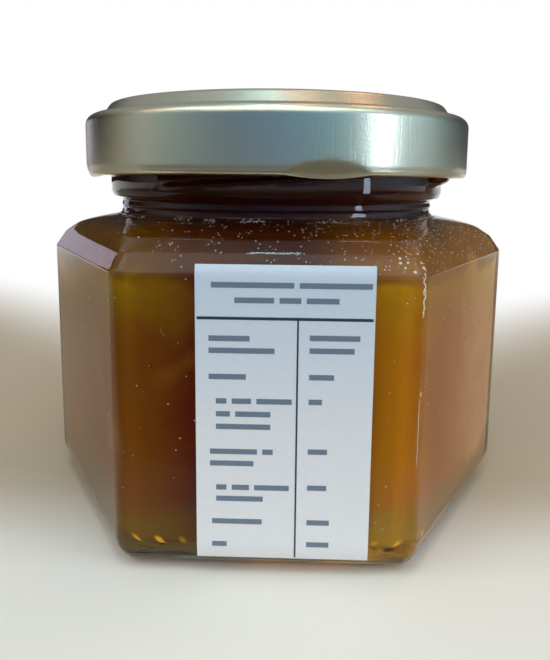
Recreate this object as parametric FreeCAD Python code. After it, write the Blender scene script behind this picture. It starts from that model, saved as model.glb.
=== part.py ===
# Hexagonal glass jar of pumpkin jam, closed by a twist-off tinplate lid, with a paper label.
# Millimetres, +Z up. The origin is the middle of the base, on the surface the jar stands on.
# One of the six faces looks along -Y and carries the label.
import FreeCAD, Part
import math
import os

# Body of the jar
across_flats = 71.5
corner_radius = 2.4
heel_radius = 5.3
wall_top = 43.0
bevel_rise = 2.8
bevel_inset = 1.66
bevel_round = 1.3
shoulder_rise = 3.6

# Glass thickness, and how far the inside of the shoulder lies below its outside
wall = 2.3
base_thickness = 4.2
inner_corner_radius = 3.6
inner_heel_radius = 4.0
shoulder_start_drop = 0.87
shoulder_end_drop = 1.82

# Foot: the ring the jar stands on, between its heel and the shallow hollow under the base
foot_width = 5.45
pushup_depth = 1.1

# Neck and finish
neck_radius = 27.4
neck_wall = 2.4
neck_height = 3.5
finish_step = 1.8
finish_height = 13.1
finish_wall = 3.6
rim_outer_round = 1.2
rim_inner_round = 1.5

# Contents: empty height between the jam and the rim
ullage = 7.0

# Lid, pressed from one tinplate blank. It turns freely round the finish with this gap.
skirt_gap = 3.75
tinplate = 0.25
lid_height = 11.8
panel_rise = 1.95
panel_inset = 4.2
panel_round = 0.8
channel_inset = 2.6
channel_drop = 0.3
knuckle_radius = 1.75
knuckle_from = 110
bead_radius = 0.75
bead_inset = 0.25
crease_angle = 42
crease_rise = 0.6
lug_count = 4
lug_angle = 14.0
lug_half_width = 7.3
lug_rise = 1.9
lug_drop = 0.35
lug_thickness = 0.9
lug_plate = 0.4
lug_clearance = 0.6

# Sealing compound in the lid, over the rim
seal_thickness = 1.35
seal_setback = 0.6
seal_bite = 0.4

# Label on the front face, folded over onto the bevel
label_width = 23.8
label_bottom = 2.9
label_fold = 1.3
label_offset = 2.35
label_thickness = 0.15

# Shares that shape the shoulder: how far in each section lies, and how fast it climbs
shoulder_shares = (0.0, 0.06, 0.16, 0.34, 0.62, 1.0)
shoulder_power = 0.58
round_share = 0.97

# The corners sharpen by this share of the inset towards the foot, but keep this share at least
corner_sharpening = 0.4

# Derived sizes of the jar
apothem = across_flats / 2
inner_apothem = apothem - wall
pushup_radius = apothem - heel_radius - foot_width
bevel_top = wall_top + bevel_rise
shoulder_top = bevel_top + shoulder_rise
finish_bottom = shoulder_top + neck_height
rim_top = finish_bottom + finish_height
finish_radius = neck_radius + finish_step
neck_bore = neck_radius - neck_wall
finish_bore = finish_radius - finish_wall
jam_level = rim_top - ullage

# Derived sizes of the lid, its seal and the label
lid_radius = finish_radius + skirt_gap + tinplate
lid_top = rim_top + seal_thickness + tinplate
lid_bottom = lid_top - lid_height
knuckle_top = lid_top - panel_rise
panel_radius = lid_radius - panel_inset
channel_radius = lid_radius - channel_inset
bead_circle = lid_radius - bead_inset - bead_radius
lug_depth = lid_radius - math.sqrt(lid_radius ** 2 - lug_half_width ** 2)
seal_inner_radius = finish_bore + seal_setback
seal_bottom = rim_top - seal_bite
label_top = wall_top + label_fold

Z_AXIS = FreeCAD.Vector(0, 0, 1)
ORIGIN = FreeCAD.Vector(0, 0, 0)
HALF_SIDE = math.radians(30)


def polar(radius, degrees, z=0.0):
    """Point at a radius and an azimuth from +X."""
    angle = math.radians(degrees)
    return FreeCAD.Vector(radius * math.cos(angle), radius * math.sin(angle), z)


def profile_point(radius, z):
    """Point of a turned profile, drawn in the XZ plane."""
    return FreeCAD.Vector(radius, 0, z)


def line(start, end):
    """Straight edge."""
    return Part.LineSegment(start, end).toShape()


def arc(start, middle, end):
    """Circular edge through three points."""
    return Part.Arc(start, middle, end).toShape()


def bend(centre, radius, start_degrees, end_degrees):
    """Circular edge of a turned profile, between two angles about its centre."""
    points = []
    for degrees in (start_degrees, (start_degrees + end_degrees) / 2, end_degrees):
        angle = math.radians(degrees)
        reach = FreeCAD.Vector(radius * math.cos(angle), 0, radius * math.sin(angle))
        points.append(centre + reach)
    return arc(*points)


def turned(edges):
    """Solid of revolution about Z from the closed outline that the edges make."""
    face = Part.Face(Part.Wire(edges))
    return face.revolve(ORIGIN, Z_AXIS, 360)


def rounded_hexagon(side_distance, rounding, z):
    """Closed wire with six straight sides and six round corners, two sides square to Y."""
    edges = []
    centre_distance = (side_distance - rounding) / math.cos(HALF_SIDE)
    for corner in range(6):
        azimuth = 60 * corner
        centre = polar(centre_distance, azimuth, z)
        start, middle, end = (centre + polar(rounding, azimuth + turn) for turn in (-30, 0, 30))
        edges.append(arc(start, middle, end))
        following = polar(centre_distance, azimuth + 60, z) + polar(rounding, azimuth + 30)
        edges.append(line(end, following))
    return Part.Wire(edges)


def heel_sections(side_distance, rounding, heel, floor, steps=5):
    """Sections of a quarter-round heel, from the floor up to the straight wall."""
    sections = []
    for step in range(steps + 1):
        angle = math.pi / 2 * step / steps
        inset = heel * (1 - math.sin(angle))
        height = floor + heel * (1 - math.cos(angle))
        corner = max(rounding - corner_sharpening * inset, corner_sharpening * rounding)
        sections.append(rounded_hexagon(side_distance - inset, corner, height))
    return sections


def bevel_edge_sections(side_distance, rounding, steps=3):
    """Sections of the rounded edge where the wall leans in to the bevel."""
    lean = math.atan2(bevel_inset, bevel_rise)
    base = wall_top - bevel_round * math.tan(lean / 2)
    sections = []
    for step in range(steps + 1):
        angle = lean * step / steps
        distance = side_distance - bevel_round * (1 - math.cos(angle))
        sections.append(rounded_hexagon(distance, rounding, base + bevel_round * math.sin(angle)))
    return sections


def shoulder_sections(side_distance, rounding, neck, bottom, top):
    """Sections that turn from the hexagon into the round neck while they climb."""
    sections = []
    for share in shoulder_shares:
        distance = side_distance + (neck - side_distance) * share
        corner = rounding + (round_share * neck - rounding) * share
        height = bottom + (top - bottom) * share ** shoulder_power
        sections.append(rounded_hexagon(distance, corner, height))
    return sections


def body_blank(grow=0.0):
    """Solid outside of the jar below the neck, optionally a little larger all round."""
    flats = apothem + grow
    corner = corner_radius + grow
    heel = Part.makeLoft(heel_sections(flats, corner, heel_radius + grow, -grow), True, False)
    foot = rounded_hexagon(flats, corner, heel_radius)
    edge = bevel_edge_sections(flats, corner)
    lip = rounded_hexagon(flats - bevel_inset, corner, bevel_top)
    straight = Part.makeLoft([foot, edge[0]], True, True)
    turn = Part.makeLoft(edge, True, False)
    bevel = Part.makeLoft([edge[-1], lip], True, True)
    sections = shoulder_sections(
        flats - bevel_inset, corner, neck_radius + grow, bevel_top, shoulder_top)
    shoulder = Part.makeLoft(sections, True, False)
    return heel.fuse([straight, turn, bevel, shoulder]).removeSplitter()


def cavity():
    """Solid space inside the glass, from its floor to above the rim."""
    floor = base_thickness
    shoulder_start = wall_top - shoulder_start_drop
    shoulder_end = shoulder_top - shoulder_end_drop
    heel = Part.makeLoft(
        heel_sections(inner_apothem, inner_corner_radius, inner_heel_radius, floor), True, False)
    foot = rounded_hexagon(inner_apothem, inner_corner_radius, floor + inner_heel_radius)
    head = rounded_hexagon(inner_apothem, inner_corner_radius, shoulder_start)
    straight = Part.makeLoft([foot, head], True, True)
    sections = shoulder_sections(
        inner_apothem, inner_corner_radius, neck_bore, shoulder_start, shoulder_end)
    shoulder = Part.makeLoft(sections, True, False)
    overlap = 1.0
    neck = Part.makeCylinder(
        neck_bore, finish_bottom - shoulder_end + overlap, profile_point(0, shoulder_end - overlap))
    mouth = Part.makeCylinder(finish_bore, rim_top, profile_point(0, finish_bottom))
    return heel.fuse([straight, shoulder, neck, mouth]).removeSplitter()


def neck_blank():
    """Solid neck with the wider finish above it and a rounded rim."""
    root = shoulder_top - 2
    foot_round = finish_step / 2
    inner_edge = finish_bore + rim_inner_round
    outer_edge = finish_radius - rim_outer_round
    edges = [
        line(profile_point(0, root), profile_point(neck_radius, root)),
        line(profile_point(neck_radius, root), profile_point(neck_radius, finish_bottom - finish_step)),
        line(profile_point(neck_radius, finish_bottom - finish_step),
             profile_point(finish_radius - foot_round, finish_bottom - foot_round)),
        line(profile_point(finish_radius - foot_round, finish_bottom - foot_round),
             profile_point(finish_radius, finish_bottom)),
        line(profile_point(finish_radius, finish_bottom),
             profile_point(finish_radius, rim_top - rim_outer_round)),
        bend(profile_point(outer_edge, rim_top - rim_outer_round), rim_outer_round, 0, 90),
        line(profile_point(outer_edge, rim_top), profile_point(inner_edge, rim_top)),
        bend(profile_point(inner_edge, rim_top - rim_inner_round), rim_inner_round, 90, 180),
        line(profile_point(finish_bore, rim_top - rim_inner_round),
             profile_point(0, rim_top - rim_inner_round)),
        line(profile_point(0, rim_top - rim_inner_round), profile_point(0, root)),
    ]
    return turned(edges)


def pushup():
    """Shallow hollow under the base, so that the jar stands on its edge."""
    crown = profile_point(0, pushup_depth)
    edge = profile_point(pushup_radius, 0)
    sphere = (pushup_radius ** 2 + pushup_depth ** 2) / (2 * pushup_depth)
    half_way = pushup_radius / 2
    middle = profile_point(half_way, pushup_depth - sphere + math.sqrt(sphere ** 2 - half_way ** 2))
    return turned([arc(crown, middle, edge), line(edge, ORIGIN), line(ORIGIN, crown)])


def glass_jar(space):
    """The jar: outside blank with neck, less the space for the jam and the push-up."""
    blank = body_blank().fuse(neck_blank())
    return blank.cut(space).cut(pushup())


def jam(space):
    """Jam that fills the jar from its floor up to the fill level."""
    size = 2 * across_flats
    below = Part.makeBox(size, size, jam_level, FreeCAD.Vector(-size / 2, -size / 2, 0))
    return space.common(below)


def lid_path():
    """Outer line of the pressed lid, from the middle of its panel to the foot of its skirt."""
    channel = profile_point(channel_radius, knuckle_top - channel_drop)
    slope = math.atan2(lid_top - channel.z, channel_radius - panel_radius)
    edge_x = panel_radius - panel_round * math.tan(slope / 2)
    edge_centre = profile_point(edge_x, lid_top - panel_round)
    edge_end = edge_centre + FreeCAD.Vector(
        panel_round * math.sin(slope), 0, panel_round * math.cos(slope))
    knuckle_centre = profile_point(lid_radius - knuckle_radius, knuckle_top - knuckle_radius)
    knuckle_start = knuckle_centre + FreeCAD.Vector(
        knuckle_radius * math.cos(math.radians(knuckle_from)), 0,
        knuckle_radius * math.sin(math.radians(knuckle_from)))
    skirt_top = profile_point(lid_radius, knuckle_centre.z)
    turn = math.radians(crease_angle)
    crease = profile_point(
        bead_circle + bead_radius * math.cos(turn), lid_bottom + bead_radius * (1 + math.sin(turn)))
    skirt_foot = profile_point(lid_radius, crease.z + crease_rise)
    return Part.Wire([
        line(profile_point(0, lid_top), profile_point(edge_x, lid_top)),
        bend(edge_centre, panel_round, 90, 90 - math.degrees(slope)),
        line(edge_end, channel),
        line(channel, knuckle_start),
        bend(knuckle_centre, knuckle_radius, knuckle_from, 0),
        line(skirt_top, skirt_foot),
        line(skirt_foot, crease),
    ])


def lid_pressing():
    """Round lid before its lugs are formed: the pressed sheet and the bead rolled at its foot."""
    sheet = lid_path().makeOffset2D(-tinplate, 0, True, True).revolve(ORIGIN, Z_AXIS, 360)
    bead = Part.makeTorus(bead_circle, bead_radius, profile_point(0, lid_bottom + bead_radius))
    return sheet.fuse(bead)


def lug_frame(shape, azimuth):
    """Lean a shape with the pressed facet of a lug, then turn it to the lug's azimuth."""
    lean = math.degrees(math.atan2(lug_depth, lug_rise))
    foot = profile_point(lid_radius - lug_depth, lid_bottom)
    placed = shape.copy()
    placed.Placement = FreeCAD.Placement(foot, FreeCAD.Rotation(FreeCAD.Vector(0, 1, 0), lean))
    placed.rotate(ORIGIN, Z_AXIS, azimuth)
    return placed


def lug_facet(inner, outer, azimuth):
    """Flat slab between two distances from a lug's facet."""
    reach = 3 * lug_rise
    slab = Part.makeBox(
        outer - inner, 2 * lug_half_width, 2 * reach,
        FreeCAD.Vector(inner, -lug_half_width, -reach))
    return lug_frame(slab, azimuth)


def lug_tongue(azimuth):
    """Flattened part of the bead that reaches in under the thread of the jar."""
    chord = lid_radius - lug_depth
    bottom = lid_bottom - lug_drop
    left = FreeCAD.Vector(chord, -lug_half_width, bottom)
    right = FreeCAD.Vector(chord, lug_half_width, bottom)
    tip = FreeCAD.Vector(finish_radius + lug_clearance, 0, bottom)
    outline = Part.Wire([line(left, right), arc(right, tip, left)])
    tongue = Part.Face(outline).extrude(FreeCAD.Vector(0, 0, lug_thickness))
    tongue.rotate(ORIGIN, Z_AXIS, azimuth)
    return tongue


def lid():
    """The finished lid: the pressing with a facet and a tongue at each lug."""
    pressing = lid_pressing()
    skirt_space = Part.makeCylinder(
        lid_radius, lug_rise + lug_drop, profile_point(0, lid_bottom - lug_drop))
    plates = []
    for lug in range(lug_count):
        azimuth = -90 + lug_angle + lug * 360 / lug_count
        outside = lug_facet(0, lid_radius - bead_circle + bead_radius, azimuth)
        pressing = pressing.cut(outside)
        plates.append(lug_facet(-lug_plate, 0, azimuth).common(skirt_space))
        plates.append(lug_tongue(azimuth).cut(outside))
    return pressing.fuse(plates).removeSplitter()


def lid_seal(cap, jar):
    """Ring of sealing compound between the lid's channel and the jar's rim, which bites into it."""
    ring = Part.makeCylinder(channel_radius, lid_top - seal_bottom, profile_point(0, seal_bottom))
    hole = Part.makeCylinder(seal_inner_radius, lid_top, profile_point(0, 0))
    pieces = ring.cut(hole).cut(cap).cut(jar).Solids
    return min(pieces, key=lambda piece: piece.CenterOfMass.z)


def label():
    """Paper strip on the front face, from the heel up onto the bevel."""
    left = label_offset - label_width / 2
    sheet = Part.makeBox(
        label_width, apothem, label_top - label_bottom,
        FreeCAD.Vector(left, -apothem - wall, label_bottom))
    return body_blank(label_thickness).common(sheet).cut(body_blank())


def main():
    """Build every piece and write one STEP file for each."""
    space = cavity()
    jar = glass_jar(space)
    cap = lid()
    pieces = {
        "glass_jar": jar,
        "jam": jam(space),
        "lid": cap,
        "lid_seal": lid_seal(cap, jar),
        "label": label(),
    }
    os.makedirs("parts", exist_ok=True)
    for name, shape in pieces.items():
        shape.exportStep(f"parts/{name}.step")
        box = shape.BoundBox
        print(f"{name}: {len(shape.Solids)} solid, {shape.Volume:.0f} mm3, "
              f"z {box.ZMin:.2f} to {box.ZMax:.2f}, valid {shape.isValid()}")


if __name__ == "__main__":
    main()
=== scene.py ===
"""A hexagonal glass jar of pumpkin jam with a twist-off lid and a paper label, in a plain studio.

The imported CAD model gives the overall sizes. Each sub-assembly is a class that builds its own
meshes, and each finish is a frozen dataclass. Lengths are in metres, with millimetres written
through the MM constant, and azimuths are in radians unless a comment says degrees.
"""
import logging
import math
from collections.abc import Callable, Iterable, Sequence
from dataclasses import dataclass, field
from enum import Enum

import bpy
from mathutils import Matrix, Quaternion, Vector, noise

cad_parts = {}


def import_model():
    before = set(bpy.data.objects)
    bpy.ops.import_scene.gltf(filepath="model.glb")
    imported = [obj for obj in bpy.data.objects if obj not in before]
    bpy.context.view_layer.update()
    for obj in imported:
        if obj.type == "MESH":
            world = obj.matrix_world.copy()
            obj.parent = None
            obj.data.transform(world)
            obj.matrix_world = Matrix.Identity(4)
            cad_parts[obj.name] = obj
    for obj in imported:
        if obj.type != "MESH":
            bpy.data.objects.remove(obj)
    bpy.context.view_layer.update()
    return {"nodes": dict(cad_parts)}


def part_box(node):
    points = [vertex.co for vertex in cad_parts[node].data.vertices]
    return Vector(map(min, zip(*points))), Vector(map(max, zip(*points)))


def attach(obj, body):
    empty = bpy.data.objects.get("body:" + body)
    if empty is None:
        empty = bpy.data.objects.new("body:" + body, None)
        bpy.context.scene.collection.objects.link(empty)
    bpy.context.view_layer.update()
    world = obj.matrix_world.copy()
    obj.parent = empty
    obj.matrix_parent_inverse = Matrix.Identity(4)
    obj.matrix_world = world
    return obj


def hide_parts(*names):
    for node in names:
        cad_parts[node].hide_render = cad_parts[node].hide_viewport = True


MM = 0.001
BODY = "root"
FACES = 6
HALF_FACE = math.pi / FACES
FRONT = -math.pi / 2
CORNER_REACH = math.radians(3.2)  # half the stretch at each corner that gets close steps
log = logging.getLogger("jam_jar")

Skin = tuple[list, list]
Line = list[tuple[float, float]]
Keep = Callable[[Vector, Vector], bool]


# --------------------------------------------------------------------------- helpers
def linear(code: str) -> tuple[float, float, float, float]:
    """Turn an sRGB hex colour into linear RGBA.

    Args:
        code: Six hex digits with a leading #.

    Returns:
        The linear colour, opaque.
    """
    channels = []
    for start in (1, 3, 5):
        value = int(code[start:start + 2], 16) / 255
        channels.append(value / 12.92 if value <= 0.04045 else ((value + 0.055) / 1.055) ** 2.4)
    return channels[0], channels[1], channels[2], 1.0


def add_node(tree: bpy.types.NodeTree, kind: str, values: dict | None = None,
             links: dict | None = None, **settings: object) -> bpy.types.Node:
    """Add a node, set its properties and unlinked inputs, and link the rest.

    Args:
        tree: Node tree that gets the node.
        kind: Node type name.
        values: Input name or index to default value.
        links: Input name or index to the socket that feeds it.
        **settings: Properties of the node itself.

    Returns:
        The new node.
    """
    node = tree.nodes.new(kind)
    for name, value in settings.items():
        setattr(node, name, value)
    for name, value in (values or {}).items():
        node.inputs[name].default_value = value
    for name, socket in (links or {}).items():
        tree.links.new(socket, node.inputs[name])
    return node


def ramp_stops(node: bpy.types.Node, stops: Sequence[tuple[float, str]]) -> None:
    """Fill a colour ramp.

    Args:
        node: The ramp.
        stops: Position and sRGB hex colour of each stop, in rising order.
    """
    elements = node.color_ramp.elements
    while len(elements) > 1:
        elements.remove(elements[-1])
    elements[0].position, elements[0].color = stops[0][0], linear(stops[0][1])
    for position, code in stops[1:]:
        elements.new(position).color = linear(code)


def blank_material(name: str) -> bpy.types.Material:
    """Make a material with an empty node tree.

    Args:
        name: The real material and how it was made.

    Returns:
        The new material.
    """
    made = bpy.data.materials.new(name)
    made.use_nodes = True
    made.node_tree.nodes.clear()
    return made


def new_object(name: str, vertices: Iterable, faces: Iterable, smooth: bool = True) -> bpy.types.Object:
    """Make a mesh object at the origin and link it to the scene.

    Args:
        name: Object and mesh name.
        vertices: Positions in metres.
        faces: Vertex index loops.
        smooth: Whether the faces shade smooth.

    Returns:
        The new object.
    """
    mesh = bpy.data.meshes.new(name)
    mesh.from_pydata([tuple(v) for v in vertices], [], [tuple(f) for f in faces])
    mesh.validate()
    mesh.polygons.foreach_set("use_smooth", [smooth] * len(mesh.polygons))
    mesh.update()
    made = bpy.data.objects.new(name, mesh)
    bpy.context.scene.collection.objects.link(made)
    return made


def joined(name: str, skins: Iterable[Skin], smooth: bool = True) -> bpy.types.Object:
    """Make one object of several skins.

    Args:
        name: Object name.
        skins: Vertices and faces of each skin.
        smooth: Whether the faces shade smooth.

    Returns:
        The new object.
    """
    vertices, faces = [], []
    for points, loops in skins:
        start = len(vertices)
        vertices += points
        faces += [tuple(start + k for k in loop) for loop in loops]
    return new_object(name, vertices, faces, smooth)


def give(piece: bpy.types.Object, material: bpy.types.Material) -> bpy.types.Object:
    """Put one material on an object in place of what it had.

    Args:
        piece: The object to dress.
        material: Its finish.

    Returns:
        The same object.
    """
    piece.data.materials.clear()
    piece.data.materials.append(material)
    return piece


def smooth_step(value: float) -> float:
    """Ease from 0 to 1 with flat ends."""
    value = min(max(value, 0.0), 1.0)
    return value * value * (3 - 2 * value)


def bump(distance: float, half_width: float) -> float:
    """Smooth hill of height 1 that falls to 0 at half_width."""
    return smooth_step(1 - abs(distance) / half_width)


# --------------------------------------------------------------------------- rings
@dataclass(frozen=True)
class Station:
    """One level of a rounded hexagon.

    Attributes:
        flat: Distance from the axis to each side.
        height: Level above the table.
        corner: Corner radius; equal to flat it gives a circle.
        knurl: How deep the radial grooves between the ribs of the foot are.
    """

    flat: float
    height: float
    corner: float
    knurl: float = 0.0

    def radius(self, azimuth: float) -> float:
        """Find how far out the outline lies.

        Args:
            azimuth: Direction from the axis.

        Returns:
            Distance from the axis.
        """
        step = 2 * HALF_FACE
        off_side = abs((azimuth - FRONT + HALF_FACE) % step - HALF_FACE)
        straight = (self.flat - self.corner) * math.tan(HALF_FACE)
        if self.flat * math.tan(off_side) <= straight:
            return self.flat / math.cos(off_side)
        centre = (self.flat - self.corner) / math.cos(HALF_FACE)
        swing = HALF_FACE - off_side
        return centre * math.cos(swing) + math.sqrt(self.corner ** 2 - (centre * math.sin(swing)) ** 2)


def azimuths(coarse: int, fine: int) -> list[float]:
    """Azimuths once round, spaced closely at the six corners.

    Args:
        coarse: Steps along each side.
        fine: Steps across each corner.

    Returns:
        Rising angles in radians.
    """
    angles = []
    for side in range(FACES):
        corner = FRONT + HALF_FACE + side * 2 * HALF_FACE
        angles += [corner - CORNER_REACH + 2 * CORNER_REACH * k / fine for k in range(fine)]
        span = 2 * HALF_FACE - 2 * CORNER_REACH
        angles += [corner + CORNER_REACH + span * k / coarse for k in range(coarse)]
    return angles


def surface_of_rings(rings: Sequence[Sequence[Vector]]) -> Skin:
    """Join rings of equal length into a closed skin, with a fan over the first and the last ring.

    Args:
        rings: Rings of points, all running the same way round.

    Returns:
        Vertices and faces.
    """
    count = len(rings[0])
    vertices = [point for ring in rings for point in ring]
    faces = []
    for level in range(len(rings) - 1):
        low, high = level * count, (level + 1) * count
        for k in range(count):
            after = (k + 1) % count
            faces.append((low + k, low + after, high + after, high + k))
    for level, turned in ((0, True), (len(rings) - 1, False)):
        vertices.append(sum(rings[level], Vector()) / count)
        hub, base = len(vertices) - 1, level * count
        for k in range(count):
            pair = (base + k, base + (k + 1) % count)
            faces.append((hub, *reversed(pair)) if turned else (hub, *pair))
    return vertices, faces


def rounded_path(points: Sequence[tuple[float, float, float]], steps: int = 6) -> Line:
    """Replace each corner of a polyline by an arc.

    Args:
        points: Distance, height and corner radius of each point.
        steps: Segments in each arc.

    Returns:
        Points of the rounded line.
    """
    path = [points[0][:2]]
    for before, here, after in zip(points, points[1:], points[2:]):
        corner = Vector(here[:2])
        to_before = Vector(before[:2]) - corner
        to_after = Vector(after[:2]) - corner
        half = to_before.angle(to_after) / 2
        radius = here[2]
        if radius <= 0 or math.pi / 2 - half < 1e-3:
            path.append(tuple(corner))
            continue
        reach = min(radius / math.tan(half), 0.48 * to_before.length, 0.48 * to_after.length)
        radius = reach * math.tan(half)
        inward = (to_before.normalized() + to_after.normalized()).normalized()
        centre = corner + inward * radius / math.sin(half)
        start = corner + to_before.normalized() * reach - centre
        end = corner + to_after.normalized() * reach - centre
        sweep = start.angle(end)
        for k in range(steps + 1):
            share = k / steps
            mix = (math.sin((1 - share) * sweep) * start + math.sin(share * sweep) * end) / math.sin(sweep)
            path.append(tuple(centre + mix))
    path.append(points[-1][:2])
    return path


def arc(centre: tuple[float, float], radius: float, turns: Iterable[float]) -> Line:
    """Points of an arc, one for each angle in turns."""
    return [(centre[0] + radius * math.cos(t), centre[1] + radius * math.sin(t)) for t in turns]


# --------------------------------------------------------------------------- finishes
@dataclass(frozen=True)
class PressedGlass:
    """Soda-lime glass, pressed and blown.

    The eye gets a clear wall with a slow ripple from the mould, faintly green where it is thick.

    Attributes:
        ior: Index of refraction.
        roughness: Next to none, as the skin is fire-polished.
        front_gloss: Share of its mirror image that the handled skin still throws back.
        edge_tint: Colour that light takes on its way through.
        density: How fast light takes that colour, for each metre.
        ripple: Width of a ripple, 11 mm.
        ripple_depth: Height of a ripple.
        ripple_strength: Share of that height that turns the light.
    """

    ior: float = 1.52
    roughness: float = 0.015
    front_gloss: float = 0.42
    edge_tint: str = "#bfe6d6"
    density: float = 14.0
    ripple: float = 100 / 9 * MM
    ripple_depth: float = 0.6 * MM
    ripple_strength: float = 0.06

    def material(self) -> bpy.types.Material:
        """Build the glass with its thick-edge tint and faint mould ripple.

        Returns:
            The finish.
        """
        made = blank_material("soda_lime_glass_pressed")
        tree = made.node_tree
        place = add_node(tree, "ShaderNodeTexCoord")
        ripple = add_node(tree, "ShaderNodeTexNoise", {"Scale": 1 / self.ripple, "Detail": 1.0},
                          {"Vector": place.outputs["Object"]})
        relief = add_node(tree, "ShaderNodeBump",
                          {"Strength": self.ripple_strength, "Distance": self.ripple_depth},
                          {"Height": ripple.outputs["Fac"]})
        glass = add_node(
            tree, "ShaderNodeBsdfPrincipled",
            {"Base Color": (1, 1, 1, 1), "Transmission Weight": 1.0, "IOR": self.ior,
             "Roughness": self.roughness, "Specular Tint": (*[self.front_gloss] * 3, 1)},
            {"Normal": relief.outputs["Normal"]})
        tint = add_node(tree, "ShaderNodeVolumeAbsorption",
                        {"Color": linear(self.edge_tint), "Density": self.density})
        add_node(tree, "ShaderNodeOutputMaterial",
                 links={"Surface": glass.outputs[0], "Volume": tint.outputs[0]})
        return made


@dataclass(frozen=True)
class BoiledPumpkin:
    """Boiled pumpkin jam: a dense amber gel, deeper where it lies thick, and darker in the neck with painted
    shade.

    The eye gets deep brown on one side of the labelled face and amber on the other, the gel's own
    streaks with painted light from the right over them, in soft bands from foot to neck, with orange
    pieces of fruit on the dark side. Light that comes down through the gel is painted as a glow
    emitted from its floor, and painted amber glints, emitted too, stand over the ribs of the foot.

    Attributes:
        foot: Colours of the foot, paler with painted light from the thick glass base. Like each band, from
            left to right.
        body: Colours of the main body.
        head: Colours under the shoulder, more yellow.
        lip: Colours behind the bevel.
        shoulder: Colours in the shoulder, darkened with painted shade under the lid.
        neck: Colours in the neck, darkest, where the jam lies thick and the lid's painted shade falls.
        underside: Painted light that comes down through the gel, emitted as a glow from its floor.
        places: Where the colours lie, from the jar's left to its right.
        swirl: Width of the swirls that unsettle the bands, 17 mm.
        swirl_reach: How far a swirl carries a colour.
        fruit: Colour of the softer, orange pieces of fruit.
        fruit_size: Width of a piece, 9 mm.
        fruit_share: How strongly a piece shows.
        fruit_edge: Where the pieces are still full and where they are gone, towards the lit side.
        painted_glint: Painted amber glints over the ribs of the foot, emitted.
        spark_top: Height above the gel's floor where the painted glints end.
        spark_full: Height where they are full.
        spark_edge: Distances to the front or back where they begin and are full.
        ribs: Number of the foot's ribs round the jar.
        roughness: Softness of the gel's shine against the glass.
        scatter_depth: How far light wanders inside it.
    """

    foot: tuple[str, ...] = (
        "#966310", "#8a5b0c", "#936609", "#824f00", "#945d00", "#d49b26", "#b4781c", "#ce8e48")
    body: tuple[str, ...] = (
        "#a76308", "#9b5300", "#965100", "#7f2700", "#964200", "#e18a08", "#ca6f14", "#ffb574")
    head: tuple[str, ...] = (
        "#d98c20", "#a76d00", "#a77600", "#904f00", "#945300", "#df9708", "#ca8410", "#ffc26e")
    lip: tuple[str, ...] = (
        "#9a6d30", "#8a570c", "#834f08", "#6c3602", "#502104", "#a56714", "#b47430", "#c5843c")
    shoulder: tuple[str, ...] = (
        "#855820", "#6c3a0c", "#612c08", "#542005", "#542005", "#8a4a08", "#945d20", "#a1672a")
    neck: tuple[str, ...] = (
        "#58240c", "#562008", "#581604", "#521404", "#521404", "#561806", "#5a2008", "#602e16")
    underside: tuple[str, ...] = (
        "#4c3c1c", "#4c3c1c", "#503c18", "#4c3c1c", "#66481c", "#8a601a", "#4a3014", "#3c2a14")
    places: tuple[float, ...] = (
        -39 * MM, -24 * MM, -19 * MM, -10 * MM, 2 * MM, 15 * MM, 24 * MM, 39 * MM)
    swirl: float = 50 / 3 * MM
    swirl_reach: float = 11 * MM
    fruit: str = "#b46a08"
    fruit_size: float = 100 / 11 * MM
    fruit_share: float = 0.7
    fruit_edge: tuple[float, float] = (14 * MM, 22 * MM)
    painted_glint: str = "#e8a42c"
    spark_top: float = 1.9 * MM
    spark_full: float = 1.2 * MM
    spark_edge: tuple[float, float] = (28.5 * MM, 29.5 * MM)
    ribs: int = 72
    roughness: float = 0.4
    scatter_depth: float = 2 * MM

    def across(self, tree: bpy.types.NodeTree, share: bpy.types.NodeSocket,
               colours: tuple[str, ...]) -> bpy.types.NodeSocket:
        """Add the colours of one band from left to right.

        Args:
            tree: Node tree of the gel.
            share: Place between the jar's left and right, from 0 to 1.
            colours: One colour for each of the places.

        Returns:
            The band's colour.
        """
        span = self.places[-1] - self.places[0]
        band = add_node(tree, "ShaderNodeValToRGB", links={0: share})
        band.color_ramp.interpolation = "EASE"
        ramp_stops(band, [((x - self.places[0]) / span, code) for x, code in zip(self.places, colours)])
        return band.outputs[0]

    def banded(self, tree: bpy.types.NodeTree, axes: bpy.types.Node, share: bpy.types.NodeSocket,
               floor: float, wall_top: float) -> bpy.types.NodeSocket:
        """Add the bands of colour, each taking over from the one below it.

        Args:
            tree: Node tree of the gel.
            axes: Swirled place, split into X, Y and Z.
            share: Swirled place between the jar's left and right, from 0 to 1.
            floor: Level of the floor of the jam.
            wall_top: Level where the straight walls end.

        Returns:
            The gel's own colour.
        """
        # painted light and shade: the foot band is paler, and the shoulder and neck bands darker, for how
        # light falls
        bands = ((self.body, floor + 3.5 * MM, floor + 7 * MM),
                 (self.head, wall_top - 11 * MM, wall_top - 3 * MM),
                 (self.lip, wall_top - 2.2 * MM, wall_top),
                 (self.shoulder, wall_top + 1.5 * MM, wall_top + 4.5 * MM),
                 (self.neck, wall_top + 5 * MM, wall_top + 8 * MM))
        colour = self.across(tree, share, self.foot)
        for colours, low, high in bands:
            rise = add_node(tree, "ShaderNodeMapRange", {"From Min": low, "From Max": high},
                            {"Value": axes.outputs["Z"]}, interpolation_type="SMOOTHSTEP")
            colour = add_node(tree, "ShaderNodeMix", data_type="RGBA", links={
                0: rise.outputs[0], 6: colour, 7: self.across(tree, share, colours)}).outputs[2]
        return colour

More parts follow.
